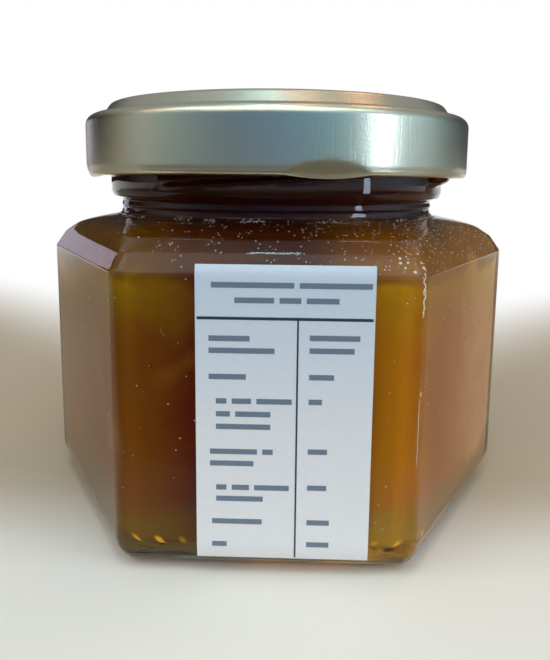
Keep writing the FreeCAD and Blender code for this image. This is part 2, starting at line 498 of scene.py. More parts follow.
    def fruited(self, tree: bpy.types.NodeTree, place: bpy.types.NodeSocket, axes: bpy.types.Node,
                colour: bpy.types.NodeSocket, wall_top: float) -> bpy.types.NodeSocket:
        """Lay pieces of fruit over the gel, below the bevel and away from the lit side.

        Args:
            tree: Node tree of the gel.
            place: Object coordinates.
            axes: Swirled place, split into X, Y and Z.
            colour: The gel's own colour.
            wall_top: Level where the straight walls end.

        Returns:
            The colour with the fruit in it.
        """
        fruit = add_node(tree, "ShaderNodeTexNoise", {"Scale": 1 / self.fruit_size, "Detail": 1.0},
                         {"Vector": place})
        patch = add_node(tree, "ShaderNodeMapRange",
                         {"From Min": 0.62, "From Max": 0.80, "To Max": self.fruit_share},
                         {"Value": fruit.outputs["Fac"]}, interpolation_type="SMOOTHSTEP")
        below = add_node(tree, "ShaderNodeMapRange",
                         {"From Min": wall_top, "From Max": wall_top - 3 * MM},
                         {"Value": axes.outputs["Z"]})
        full, gone = self.fruit_edge
        dark_side = add_node(tree, "ShaderNodeMapRange", {"From Min": gone, "From Max": full},
                             {"Value": axes.outputs["X"]}, interpolation_type="SMOOTHSTEP")
        amount = patch.outputs[0]
        for mask in (below, dark_side):
            amount = add_node(tree, "ShaderNodeMath", links={0: amount, 1: mask.outputs[0]},
                              operation="MULTIPLY").outputs[0]
        return add_node(tree, "ShaderNodeMix", {7: linear(self.fruit)}, {0: amount, 6: colour},
                        data_type="RGBA").outputs[2]

    def painted_glints(self, tree: bpy.types.NodeTree, place: bpy.types.NodeSocket,
               uneven: bpy.types.NodeSocket, floor: float) -> bpy.types.NodeSocket:
        """Add the broken row of glints over the ribs of the foot, front and back.

        Args:
            tree: Node tree of the gel.
            place: Object coordinates.
            uneven: Noise that leaves some glints out.
            floor: Level of the floor of the jam.

        Returns:
            How much of the painted glint colour shows, from 0 to 1.
        """
        axes = add_node(tree, "ShaderNodeSeparateXYZ", links={0: place})
        turn = add_node(tree, "ShaderNodeMath", links={0: axes.outputs["Y"], 1: axes.outputs["X"]},
                        operation="ARCTAN2")
        phase = add_node(tree, "ShaderNodeMath", {1: float(self.ribs)}, {0: turn.outputs[0]},
                         operation="MULTIPLY")
        wave = add_node(tree, "ShaderNodeMath", links={0: phase.outputs[0]}, operation="COSINE")
        crest = add_node(tree, "ShaderNodeMapRange", {"From Min": 0.45, "From Max": 0.95},
                         {"Value": wave.outputs[0]}, interpolation_type="SMOOTHSTEP")
        ahead = add_node(tree, "ShaderNodeMath", links={0: axes.outputs["Y"]}, operation="ABSOLUTE")
        begin, full = self.spark_edge
        outer = add_node(tree, "ShaderNodeMapRange", {"From Min": begin, "From Max": full},
                         {"Value": ahead.outputs[0]})
        low = add_node(tree, "ShaderNodeMapRange",
                       {"From Min": floor + self.spark_top, "From Max": floor + self.spark_full},
                       {"Value": axes.outputs["Z"]})
        some = add_node(tree, "ShaderNodeMapRange", {"From Min": 0.40, "From Max": 0.52}, {"Value": uneven})
        share = crest.outputs[0]
        for mask in (outer, low, some):
            share = add_node(tree, "ShaderNodeMath", links={0: share, 1: mask.outputs[0]},
                             operation="MULTIPLY").outputs[0]
        return share

    def material(self, floor: float, wall_top: float) -> bpy.types.Material:
        """Build the gel.

        Args:
            floor: Level of the floor of the jam.
            wall_top: Level where the straight walls end.

        Returns:
            The finish.
        """
        made = blank_material("pumpkin_jam_boiled")
        tree = made.node_tree
        place = add_node(tree, "ShaderNodeTexCoord").outputs["Object"]
        swirl = add_node(tree, "ShaderNodeTexNoise",
                         {"Scale": 1 / self.swirl, "Detail": 3.0, "Distortion": 0.8}, {"Vector": place})
        centred = add_node(tree, "ShaderNodeVectorMath", {1: (0.5, 0.5, 0.5)},
                           {0: swirl.outputs["Color"]}, operation="SUBTRACT")
        shift = add_node(tree, "ShaderNodeVectorMath", {"Scale": self.swirl_reach},
                         {0: centred.outputs[0]}, operation="SCALE")
        moved = add_node(tree, "ShaderNodeVectorMath", links={0: place, 1: shift.outputs[0]},
                         operation="ADD")
        axes = add_node(tree, "ShaderNodeSeparateXYZ", links={0: moved.outputs[0]})
        share = add_node(tree, "ShaderNodeMapRange",
                         {"From Min": self.places[0], "From Max": self.places[-1]},
                         {"Value": axes.outputs["X"]}).outputs[0]
        colour = self.banded(tree, axes, share, floor, wall_top)
        colour = self.fruited(tree, place, axes, colour, wall_top)
        # painted light: the gel's floor emits a glow in the underside colours, for light that comes down
        # through it
        under = add_node(tree, "ShaderNodeMapRange", {"From Min": floor + 0.5 * MM, "From Max": floor},
                         {"Value": axes.outputs["Z"]}, interpolation_type="SMOOTHSTEP")
        dim = add_node(tree, "ShaderNodeMix", {6: linear("#000000")},
                       {0: under.outputs[0], 7: self.across(tree, share, self.underside)},
                       data_type="RGBA")
        # painted highlights: amber glints over the ribs of the foot, emitted as well
        painted_glints = self.painted_glints(tree, place, swirl.outputs["Fac"], floor)
        glow = add_node(tree, "ShaderNodeMix", {7: linear(self.painted_glint)}, {0: painted_glints, 6: dim.outputs[2]},
                        data_type="RGBA")
        gel = add_node(
            tree, "ShaderNodeBsdfPrincipled",
            {"Roughness": self.roughness, "Specular IOR Level": 0.05, "Subsurface Weight": 0.15,
             "Subsurface Radius": (1.0, 0.5, 0.15), "Subsurface Scale": self.scatter_depth,
             "Emission Strength": 1.0},
            {"Base Color": colour, "Emission Color": glow.outputs[2]})
        add_node(tree, "ShaderNodeOutputMaterial", links={"Surface": gel.outputs[0]})
        return made


@dataclass(frozen=True)
class SatinLacquer:
    """Gold lacquer, roller-coated and baked on tinplate.

    The eye gets a pale gold satin metal with a fine grain and faint leaning rub marks.

    Attributes:
        tone: Colour of the lacquered metal.
        roughness: Satin, so that mirror images have soft edges.
        grit: Width of the lacquer's grain, drawn coarser than the real one so that it shows.
        scratch_gap: Distance between rub marks.
        scratch_lean: Angle that the marks lean off upright.
        scratch_draw: How thin a mark is beside its length.
        scratch_depth: Depth of a mark, as a share of the relief.
        relief: Height of the grain.
        relief_strength: Share of that height that turns the light.
    """

    tone: str = "#bfbaa4"
    roughness: float = 0.28
    grit: float = 0.2 * MM
    scratch_gap: float = 0.45 * MM
    scratch_lean: float = 0.5
    scratch_draw: float = 0.06
    scratch_depth: float = 0.3
    relief: float = 0.08 * MM
    relief_strength: float = 0.22

    def material(self) -> bpy.types.Material:
        """Build the lacquered metal.

        Returns:
            The finish.
        """
        made = blank_material("tinplate_satin_gold_lacquer")
        tree = made.node_tree
        place = add_node(tree, "ShaderNodeTexCoord")
        grain = add_node(tree, "ShaderNodeTexNoise", {"Scale": 1 / self.grit, "Detail": 2.0},
                         {"Vector": place.outputs["Object"]})
        slant = add_node(tree, "ShaderNodeMapping",
                         {"Rotation": (0, self.scratch_lean, 0), "Scale": (1, 1, self.scratch_draw)},
                         {"Vector": place.outputs["Object"]})
        rub = add_node(tree, "ShaderNodeTexNoise", {"Scale": 1 / self.scratch_gap, "Detail": 1.0},
                       {"Vector": slant.outputs[0]})
        scratch = add_node(tree, "ShaderNodeMapRange",
                           {"From Min": 0.56, "From Max": 0.68, "To Max": self.scratch_depth},
                           {"Value": rub.outputs["Fac"]})
        uneven = add_node(tree, "ShaderNodeMath", links={0: grain.outputs["Fac"], 1: scratch.outputs[0]},
                          operation="SUBTRACT")
        relief = add_node(tree, "ShaderNodeBump",
                          {"Strength": self.relief_strength, "Distance": self.relief},
                          {"Height": uneven.outputs[0]})
        metal = add_node(tree, "ShaderNodeBsdfPrincipled",
                         {"Base Color": linear(self.tone), "Metallic": 1.0, "Roughness": self.roughness},
                         {"Normal": relief.outputs["Normal"]})
        add_node(tree, "ShaderNodeOutputMaterial", links={"Surface": metal.outputs[0]})
        return made


@dataclass(frozen=True)
class CoatedPaper:
    """Label paper with a matt clay coating.

    The eye gets a dull, nearly white sheet with a faint fibre mottle, and painted light that leaves it
    warm at its foot and cooler and darker towards its head.

    Attributes:
        foot: Colour of the lower part, warmed with painted light.
        head: Colour of the upper part, cooled and darkened with painted shade.
        fibre: Width of the mottle, drawn coarser than the real fibres so that it shows.
        mottle: Darkest and lightest share of the colour.
        relief: Height of the fibres.
        relief_strength: Share of that height that turns the light.
        roughness: Dull, with a trace of the coating's sheen.
    """

    foot: str = "#e9dfda"
    head: str = "#d0d4da"
    fibre: float = 0.9 * MM
    mottle: tuple[float, float] = (0.955, 1.03)
    relief: float = 0.05 * MM
    relief_strength: float = 0.1
    roughness: float = 0.45

    def material(self, low: float, high: float) -> bpy.types.Material:
        """Build the paper.

        Args:
            low: Level of the label's foot.
            high: Level of its head.

        Returns:
            The finish.
        """
        made = blank_material("label_paper_matt_coated")
        tree = made.node_tree
        place = add_node(tree, "ShaderNodeTexCoord")
        axes = add_node(tree, "ShaderNodeSeparateXYZ", links={0: place.outputs["Object"]})
        # painted light: the colour runs from the warm foot to the cooler, darker head
        rise = add_node(tree, "ShaderNodeMapRange", {"From Min": low, "From Max": high},
                        {"Value": axes.outputs["Z"]})
        base = add_node(tree, "ShaderNodeValToRGB", links={0: rise.outputs[0]})
        ramp_stops(base, ((0.0, self.foot), (0.45, self.foot), (0.93, self.head), (1.0, self.head)))
        fibre = add_node(tree, "ShaderNodeTexNoise", {"Scale": 1 / self.fibre, "Detail": 3.0},
                         {"Vector": place.outputs["Object"]})
        shade = add_node(tree, "ShaderNodeMapRange", {"To Min": self.mottle[0], "To Max": self.mottle[1]},
                         {"Value": fibre.outputs["Fac"]})
        tinted = add_node(tree, "ShaderNodeVectorMath", operation="SCALE",
                          links={0: base.outputs[0], "Scale": shade.outputs[0]})
        relief = add_node(tree, "ShaderNodeBump",
                          {"Strength": self.relief_strength, "Distance": self.relief},
                          {"Height": fibre.outputs["Fac"]})
        face = add_node(tree, "ShaderNodeBsdfPrincipled", {"Roughness": self.roughness},
                        {"Base Color": tinted.outputs[0], "Normal": relief.outputs["Normal"]})
        add_node(tree, "ShaderNodeOutputMaterial", links={"Surface": face.outputs[0]})
        return made


@dataclass(frozen=True)
class Plain:
    """A non-metal finish of one tone with a faint mottle.

    Attributes:
        name: The real material and how it was made.
        tone: Its colour.
        roughness: How dull it is.
        grain: Width of the mottle, 1.1 mm.
        mottle: Darkest and lightest share of the colour.
    """

    name: str
    tone: str
    roughness: float
    grain: float = 10 / 9 * MM
    mottle: tuple[float, float] = (0.94, 1.04)

    def material(self) -> bpy.types.Material:
        """Build the finish.

        Returns:
            The finish.
        """
        made = blank_material(self.name)
        tree = made.node_tree
        place = add_node(tree, "ShaderNodeTexCoord")
        fibre = add_node(tree, "ShaderNodeTexNoise", {"Scale": 1 / self.grain, "Detail": 3.0},
                         {"Vector": place.outputs["Object"]})
        shade = add_node(tree, "ShaderNodeMapRange", {"To Min": self.mottle[0], "To Max": self.mottle[1]},
                         {"Value": fibre.outputs["Fac"]})
        tinted = add_node(tree, "ShaderNodeVectorMath", {0: linear(self.tone)[:3]},
                          {"Scale": shade.outputs[0]}, operation="SCALE")
        face = add_node(tree, "ShaderNodeBsdfPrincipled", {"Roughness": self.roughness},
                        {"Base Color": tinted.outputs[0]})
        add_node(tree, "ShaderNodeOutputMaterial", links={"Surface": face.outputs[0]})
        return made


@dataclass(frozen=True)
class TrappedAir:
    """Air shut in the glass when it was pressed.

    It bends light the other way, so the eye gets a small bright ring.

    Attributes:
        ior: Index of refraction of air, seen from inside the glass.
        roughness: Next to none.
    """

    ior: float = 1 / 1.52
    roughness: float = 0.02

    def material(self) -> bpy.types.Material:
        """Build the inside of a bubble.

        Returns:
            The finish.
        """
        made = blank_material("air_bubble_trapped")
        tree = made.node_tree
        inside = add_node(tree, "ShaderNodeBsdfPrincipled",
                          {"Base Color": (1, 1, 1, 1), "Transmission Weight": 1.0, "IOR": self.ior,
                           "Roughness": self.roughness})
        add_node(tree, "ShaderNodeOutputMaterial", links={"Surface": inside.outputs[0]})
        return made


RULE_INK = Plain("printing_ink_slate", "#2b3440", 0.5)  # dark matt lines on the paper
PRINT_INK = Plain("printing_ink_grey", "#6f7985", 0.5)  # small print, which reads as a mid grey
SEAL_COMPOUND = Plain("plastisol_compound_cast", "#e6e2d2", 0.6)  # a soft cream ring, dull as rubber
SHRED = Plain("pumpkin_fibre_boiled", "#bc8830", 0.5)  # pale threads of fruit against the glass
LINT = Plain("lint_dust_settled", "#e4e0da", 0.8)  # bright, dull specks on the clear glass
# pale beads and strands that paint glints along the neck's root and highlights down a corner, and pale drops
# on that corner's bevel
PALE_BEADS_AND_PAINTED_GLINTS = Plain("pale_beads_painted_glints", "#e2d4c2", 0.25)  # whitish beads that still glisten


# --------------------------------------------------------------------------- the jar
@dataclass
class GlassJar:
    """The glass: hexagonal body, bevelled shoulder, round neck, finish with thread leads.

    Attributes:
        height: Level of the rim.
        flats: Distance from the axis to each outer side.
        corner: Outer corner radius.
        heel: Radius between the sides and the foot.
        wall_top: Level where the straight sides end and the bevel starts.
        bevel_rise: Height of the bevel.
        bevel_inset: How far the bevel leans in.
        bevel_edge: Radius of the edge between side and bevel.
        bevel_blend: Radius between bevel and shoulder.
        shoulder_top: Level of the neck's root.
        shoulder_power: Bow of the shoulder; 1 would be straight, and less rises sooner.
        wall: Thickness of the sides.
        floor: Level of the inside floor.
        inner_corner: Inner corner radius.
        inner_heel: Radius between the inner sides and the floor.
        neck: Outer radius of the neck.
        neck_bore: Its inner radius.
        finish: Outer radius of the finish, as the threaded mouth is called.
        finish_bore: Its inner radius.
        finish_height: Its height.
        pushup: Radius of the hollow under the foot.
        pushup_depth: Depth of that hollow.
        leads: Number of thread leads.
        lead_start: Azimuth where the first lead starts.
        lead_span: How far each lead runs round.
        lead_low: Level where each lead starts.
        lead_rise: How far it climbs.
        lead_height: How far it stands out.
        lead_half: Half its width.
        lead_taper: Share of its run that each end takes to fade.
        knurls: Number of ribs round the foot.
        knurl_depth: Depth of the grooves between them.
        root_wander: How far the mould's unevenness moves the neck's root.
        spokes: Azimuths of the points of every ring.
    """

    height: float
    flats: float
    corner: float = 2.4 * MM
    heel: float = 5.3 * MM
    wall_top: float = 43.0 * MM
    bevel_rise: float = 2.8 * MM
    bevel_inset: float = 1.66 * MM
    bevel_edge: float = 1.3 * MM
    bevel_blend: float = 3.5 * MM
    shoulder_top: float = 49.4 * MM
    shoulder_power: float = 0.58
    wall: float = 2.3 * MM
    floor: float = 3.3 * MM
    inner_corner: float = 3.6 * MM
    inner_heel: float = 3.2 * MM
    neck: float = 27.4 * MM
    neck_bore: float = 25.0 * MM
    finish: float = 29.2 * MM
    finish_bore: float = 25.6 * MM
    finish_height: float = 13.1 * MM
    pushup: float = 25.0 * MM
    pushup_depth: float = 1.1 * MM
    leads: int = 4
    lead_start: float = math.radians(-125.8)
    lead_span: float = math.radians(78)
    lead_low: float = 54.75 * MM
    lead_rise: float = 2.75 * MM
    lead_height: float = 1.3 * MM
    lead_half: float = 0.95 * MM
    lead_taper: float = 0.09
    knurls: int = 72
    knurl_depth: float = 0.45 * MM
    root_wander: float = 0.16 * MM
    spokes: list[float] = field(default_factory=lambda: azimuths(72, 16))

    @property
    def finish_bottom(self) -> float:
        """Level where the neck widens into the finish."""
        return self.height - self.finish_height

    def shoulder(self, flat: float, neck: float, corner: float, low: float, high: float,
                 steps: int = 16) -> list[Station]:
        """Turn a hexagon into the round neck while it climbs.

        Args:
            flat: Distance from the axis to the sides of the hexagon.
            neck: Radius of the neck.
            corner: Corner radius of the hexagon.
            low: Level of the hexagon.
            high: Level of the neck's root.
            steps: Number of levels.

        Returns:
            The levels, without the hexagon itself.
        """
        levels = []
        for k in range(1, steps + 1):
            share = (k / steps) ** 1.7
            levels.append(Station(
                flat + (neck - flat) * share, low + (high - low) * share ** self.shoulder_power,
                corner + (neck - corner) * share))
        return levels

    def outside(self) -> list[Station]:
        """Set the levels of the outer skin.

        Returns:
            Levels from the middle of the foot to the neck's root.
        """
        levels = [Station(r, self.pushup_depth * (1 - (r / self.pushup) ** 2), r)
                  for r in (4 * MM, 9 * MM, 14 * MM, 19 * MM, 23 * MM)]
        levels += [Station(self.pushup, 0.12 * MM, self.pushup)]
        # the foot turns from the round hollow into a hexagon and carries the ribs
        bearing = self.flats - self.heel
        for k in range(7):
            share = k / 6
            depth = self.knurl_depth * bump(share - 0.5, 0.55)
            levels.append(Station(25.6 * MM + (bearing - 26 * MM) * share, 0.0,
                                  25 * MM + (2 * MM - 25 * MM) * share ** 2, depth))
        # the heel, whose corners tighten towards the foot
        for k in range(13):
            angle = math.pi / 2 * k / 12
            inset = self.heel * (1 - math.sin(angle))
            corner = max(self.corner - 0.4 * inset, 0.4 * self.corner)
            levels.append(Station(self.flats - inset, self.heel * (1 - math.cos(angle)), corner))
        straight_top = self.wall_top - 2 * MM
        levels += [Station(self.flats, self.heel + (straight_top - self.heel) * k / 5, self.corner)
                   for k in range(1, 6)]
        # the bevel, blended into the first stretch of the shoulder
        bevel_top = self.wall_top + self.bevel_rise
        lip = self.flats - self.bevel_inset
        rise, run = self.shoulder_top - bevel_top, lip - self.neck
        onto_arch = [(lip - inset, bevel_top + rise * (inset / run) ** self.shoulder_power, radius)
                     for inset, radius in ((1.7 * MM, 3.0 * MM), (3.2 * MM, 0))]
        edge = rounded_path([
            (self.flats, straight_top, 0), (self.flats, self.wall_top, self.bevel_edge),
            (lip, bevel_top - 0.2 * MM, self.bevel_blend), *onto_arch])
        for flat, height in edge[1:-1]:
            share = max(0.0, (lip - flat) / run)
            levels.append(Station(flat, height, self.corner + (self.neck - self.corner) * share))
        arch = self.shoulder(lip, self.neck, self.corner, bevel_top, self.shoulder_top)
        levels += [s for s in arch if s.height > edge[-2][1] + 0.05 * MM]
        return levels

    def inside(self) -> list[Station]:
        """Set the levels of the inner skin.

        Returns:
            Levels from the neck's root down to the middle of the floor.
        """
        flat = self.flats - self.wall
        start = self.wall_top - 0.87 * MM
        end = self.shoulder_top - 1.82 * MM
        arch = self.shoulder(flat, self.neck_bore, self.inner_corner, start, end)
        levels = list(reversed(arch)) + [Station(flat, start, self.inner_corner)]
        low = self.floor + self.inner_heel
        levels += [Station(flat, start + (low - start) * k / 5, self.inner_corner) for k in range(1, 5)]
        for k in range(11):
            angle = math.pi / 2 * (1 - k / 10)
            inset = self.inner_heel * (1 - math.sin(angle))
            corner = max(self.inner_corner - 0.4 * inset, 0.4 * self.inner_corner)
            rise = self.inner_heel * (1 - math.cos(angle))
            levels.append(Station(flat - inset, self.floor + rise, corner))
        levels.append(Station(14 * MM, self.floor, 10 * MM))
        return levels

    def neck_line(self) -> Line:
        """Draw the neck up to the finish, with the faint mould steps between them.

        Returns:
            Distance and height of each point, from the neck's root up.
        """
        root, bottom = self.shoulder_top, self.finish_bottom
        neck, ring = self.neck, self.finish
        return rounded_path([
            (neck + 1.0 * MM, root - 0.1 * MM, 0), (neck + 0.05 * MM, root + 0.1 * MM, 0.8 * MM),
            (neck - 0.1 * MM, root + 1.2 * MM, 0.3 * MM), (neck + 0.15 * MM, root + 1.5 * MM, 0.3 * MM),
            (neck - 0.05 * MM, root + 2.3 * MM, 0.3 * MM), (neck + 0.2 * MM, bottom - 0.8 * MM, 0.4 * MM),
            (ring - 0.4 * MM, bottom - 0.5 * MM, 0.4 * MM), (ring, bottom + 0.4 * MM, 0.5 * MM),
            (ring, bottom + 1.2 * MM, 0)], 4)

    def rim_line(self) -> Line:
        """Draw the outer finish, the rounded rim and the bore.

        Returns:
            Distance and height of each point, up the outside and down the inside.
        """
        top, ring, bore = self.height, self.finish, self.finish_bore
        start = self.finish_bottom + 1.2 * MM
        upright = [(ring, start + (top - 1.6 * MM - start) * k / 30) for k in range(1, 30)]
        crown = rounded_path([
            (ring, top - 1.6 * MM, 0), (ring, top, 1.2 * MM), (bore, top, 1.5 * MM),
            (bore, top - 3 * MM, 0)])
        down = [(bore, self.finish_bottom + 0.6 * MM), (self.neck_bore, self.finish_bottom - 0.6 * MM)]
        return upright + crown + down

    def lead_lift(self, azimuth: float, height: float) -> float:
        """Find how far the thread leads stand out of the finish.

        Args:
            azimuth: Direction from the axis.
            height: Level above the table.

        Returns:
            What a lead adds to the radius there.
        """
        pitch = 2 * math.pi / self.leads
        along = (azimuth - self.lead_start) % pitch
        share = along / self.lead_span
        if share > 1:
            return 0.0
        centre = self.lead_low + self.lead_rise * share
        ends = smooth_step(share / self.lead_taper) * smooth_step((1 - share) / self.lead_taper)
        return self.lead_height * ends * bump(height - centre, self.lead_half)

    def ring(self, level: Station, lifted: bool = False) -> list[Vector]:
        """Make the points of one level, with the mould's slight unevenness at the neck's root.

        Args:
            level: The rounded hexagon or circle.
            lifted: Whether the level crosses the thread leads.

        Returns:
            The ring of points.
        """
        points = []
        for azimuth in self.spokes:
            radius = level.radius(azimuth)
            if lifted:
                radius += self.lead_lift(azimuth, level.height)
            # waves about 3 mm long, only near the neck's root and never on the inner skin
            near_root = bump(level.height - self.shoulder_top - 0.3 * MM, 1.3 * MM)
            if near_root and level.radius(0) > self.neck_bore + 1 * MM:
                wander = noise.noise((9 * math.cos(azimuth), 9 * math.sin(azimuth), level.height / MM))
                radius += self.root_wander * near_root * wander
            height = level.height + level.knurl * (0.5 - 0.5 * math.cos(self.knurls * azimuth))
            points.append(Vector((radius * math.cos(azimuth), radius * math.sin(azimuth), height)))
        return points

    def build(self) -> bpy.types.Object:
        """Make the glass.

        Returns:
            The glass as one closed skin.
        """
        rings = [self.ring(level) for level in self.outside()]
        rings += [self.ring(Station(r, z, r), True) for r, z in self.neck_line()[1:]]
        rings += [self.ring(Station(r, z, r), r > self.finish - 0.01 * MM) for r, z in self.rim_line()]
        rings += [self.ring(level) for level in self.inside()]
        return new_object("glass_jar_pressed", *surface_of_rings(rings))


@dataclass
class JamFill:
    """The jam, which reaches just into the glass all round, up to its level.

    Attributes:
        jar: The glass that holds it.
        level: Height of its top.
        overlap: How far it reaches into the glass, so that no air shows between them.
        unevenness: How far the top rises and falls.
    """

    jar: GlassJar
    level: float
    overlap: float = 0.12 * MM
    unevenness: float = 0.35 * MM

    def build(self) -> bpy.types.Object:
        """Make the body of the jam with an uneven, wet top.

        Returns:
            The jam as one closed skin.
        """
        levels = list(reversed(self.jar.inside()))
        grown = [Station(s.flat + self.overlap, s.height - (self.overlap if k < 2 else 0),
                         s.corner + self.overlap) for k, s in enumerate(levels)]
        bore = self.jar.neck_bore + self.overlap
        mouth = self.jar.finish_bore + self.overlap
        bottom = self.jar.finish_bottom
        grown += [Station(bore, bottom - 0.6 * MM, bore), Station(mouth, bottom + 0.6 * MM, mouth),
                  Station(mouth, self.level, mouth)]
        top = [(mouth - 0.6 * MM, -0.35 * MM), (mouth - 2 * MM, -0.6 * MM), (18 * MM, -0.5 * MM),
               (10 * MM, -0.2 * MM)]
        rings = [self.jar.ring(level) for level in grown]
        for radius, drop in top:
            ring = self.jar.ring(Station(radius, self.level + drop, radius))
            for point in ring:  # lumps about 6 mm wide
                point.z += self.unevenness * noise.noise(point * 160)
            rings.append(ring)
        return new_object("jam_body", *surface_of_rings(rings))


# --------------------------------------------------------------------------- the lid
@dataclass
class TwistLid:
    """Pressed tinplate lid: raised panel, knuckle, skirt, rolled bead and four lugs.

    Attributes:
        radius: Outer radius of the skirt.
        top: Level of the panel.
        bottom: Level of the bead's underside between the lugs.
        tinplate: Thickness of the sheet.
        knuckle: Radius between panel and skirt.
        skirt_rise: Height of the knuckle's top over the bottom.
        panel: Radius of the raised panel.
        channel: Radius of the groove round it.
        channel_drop: Depth of that groove under the knuckle's top.
        bead: Radius of the rolled bead.
        bead_inset: How far the bead stands behind the skirt.
        lugs: Number of lugs.
        lug_angle: Azimuth of the first lug from the front.
        lug_half_width: Half the width of the flat that the tool leaves.
        lug_rise: Height of that flat.
        lug_drop: How far a lug is pushed down.
        lug_push: How far it is pushed in under the thread.
        steps: Number of points round.
    """

    radius: float
    top: float
    bottom: float
    tinplate: float = 0.25 * MM
    knuckle: float = 1.75 * MM
    skirt_rise: float = 9.85 * MM
    panel: float = 29.0 * MM
    channel: float = 30.6 * MM
    channel_drop: float = 0.3 * MM
    bead: float = 0.75 * MM
    bead_inset: float = 0.04 * MM
    lugs: int = 4
    lug_angle: float = math.radians(14)
    lug_half_width: float = 7.3 * MM
    lug_rise: float = 1.9 * MM
    lug_drop: float = 0.35 * MM
    lug_push: float = 1.7 * MM
    steps: int = 360

    def outer_line(self) -> Line:
        """Draw the outer skin.

        Returns:
            Distance and height of each point, from the middle of the panel to the crease above the bead.
        """
        knuckle_top = self.bottom + self.skirt_rise
        groove = knuckle_top - self.channel_drop
        crest = self.radius - self.knuckle
        line = [(0.2 * MM + 3.5 * MM * k, self.top) for k in range(8)]
        line += rounded_path([
            (self.panel - 2 * MM, self.top, 0), (self.panel, self.top, 1.0 * MM),
            (self.channel, groove, 0.35 * MM), (crest - 0.35 * MM, knuckle_top - 0.02 * MM, 0.4 * MM),
            (crest, knuckle_top, 0)], 6)[:-1]
        high = knuckle_top - self.knuckle
        line += arc((crest, high), self.knuckle, (math.pi / 2 * (1 - k / 12) for k in range(13)))
        foot = self.bottom + 1.5 * self.bead
        line += [(self.radius, high + (foot - high) * k / 12) for k in range(1, 13)]
        return line

    def bead_line(self) -> Line:
        """Rolled bead, from the crease round its outside and up behind the skirt."""
        centre = self.radius - self.bead_inset - self.bead, self.bottom + self.bead
        return arc(centre, self.bead, (math.radians(10 - 232 * k / 18) for k in range(19)))

    def inner_line(self) -> Line:
        """Draw the inner skin.

        Returns:
            Distance and height of each point, from behind the bead up to the middle of the panel.
        """
        inner = self.radius - self.tinplate
        knuckle_top = self.bottom + self.skirt_rise
        crest = self.radius - self.knuckle
        high = knuckle_top - self.knuckle
        line = [(inner, self.bottom + 2.6 * self.bead), (inner, high)]
        line += arc((crest, high), self.knuckle - self.tinplate, (math.pi / 2 * k / 8 for k in range(1, 9)))
        under = self.top - self.tinplate
        line += [(self.channel, knuckle_top - self.channel_drop - self.tinplate),
                 (self.panel - 0.2 * MM, under)]
        line += [(self.panel * (1 - k / 6), under) for k in range(1, 6)]
        return line

    def press_lug(self, azimuth: float, radius: float, height: float, depth: float) -> tuple[float, float]:
        """Move a point of the round lid to where the lug tool leaves it.

        Args:
            azimuth: Where the point is round the lid.
            radius: Its distance from the axis.
            height: Its level.
            depth: How far it lies below the outer skin.

        Returns:
            The pressed radius and height.
        """
        # the chord cuts the round skirt flat at the foot and runs out where the flat ends
        pitch = 2 * math.pi / self.lugs
        off = (azimuth - FRONT - self.lug_angle + pitch / 2) % pitch - pitch / 2
        reach = math.asin(self.lug_half_width / self.radius)
        if abs(off) > reach * 1.15 or height > self.bottom + 3 * self.lug_rise:
            return radius, height
        chord = self.radius * math.cos(reach)
        lean = (self.radius - chord) / self.lug_rise
        facet = (chord + lean * (height - self.bottom)) / math.cos(off)
        pressed = min(radius, facet - depth)
        # the lug itself: the bead's inner part, pushed in under the thread and a little down
        middle = smooth_step(1 - abs(off) / reach)
        low = smooth_step((self.bottom + 2.2 * self.bead - height) / (1.4 * self.bead))
        inward = smooth_step((self.radius - radius - 0.6 * MM) / (1.2 * MM))
        pressed -= middle * low * inward * self.lug_push
        return pressed, height - middle * low * self.lug_drop

    def build(self) -> bpy.types.Object:
        """Make the lid.

        Returns:
            The lid as one closed skin.
        """
        layers = [(self.outer_line(), 0.0), (self.bead_line(), 0.0), (self.inner_line(), self.tinplate)]
        rings = []
        for line, depth in layers:
            for radius, height in line:
                ring = []
                for k in range(self.steps):
                    azimuth = 2 * math.pi * k / self.steps
                    r, z = self.press_lug(azimuth, radius, height, depth)
                    ring.append(Vector((r * math.cos(azimuth), r * math.sin(azimuth), z)))
                rings.append(ring)
        rings.reverse()
        return new_object("lid_pressed", *surface_of_rings(rings))


# --------------------------------------------------------------------------- the label
@dataclass(frozen=True)
class Row:
    """One printed line of the table.

    Attributes:
        level: Distance from the label's head, as a share of its height.
        indent: Distance from its left edge, as a share of its width.
        words: Length of each word, as a share of its width.
    """

    level: float
    indent: float
    words: tuple[float, ...]


LEFT_COLUMN = (
    Row(0.064, 0.09, (0.46, 0.40)), Row(0.113, 0.22, (0.22, 0.12, 0.18)),
    Row(0.238, 0.075, (0.23,)), Row(0.278, 0.075, (0.37,)), Row(0.365, 0.075, (0.21,)),
    Row(0.447, 0.115, (0.06, 0.11, 0.20)), Row(0.491, 0.115, (0.08, 0.20)),
    Row(0.534, 0.115, (0.31,)), Row(0.620, 0.08, (0.27, 0.06)), Row(0.661, 0.08, (0.25,)),
    Row(0.745, 0.115, (0.06, 0.10, 0.20)), Row(0.785, 0.115, (0.27,)),
    Row(0.866, 0.09, (0.29,)), Row(0.948, 0.09, (0.085,)))
RIGHT_COLUMN = tuple(Row(level, 0.64, (length,)) for level, length in (
    (0.233, 0.28), (0.275, 0.25), (0.363, 0.14), (0.446, 0.075), (0.616, 0.11), (0.742, 0.11),
    (0.865, 0.13), (0.944, 0.13)))


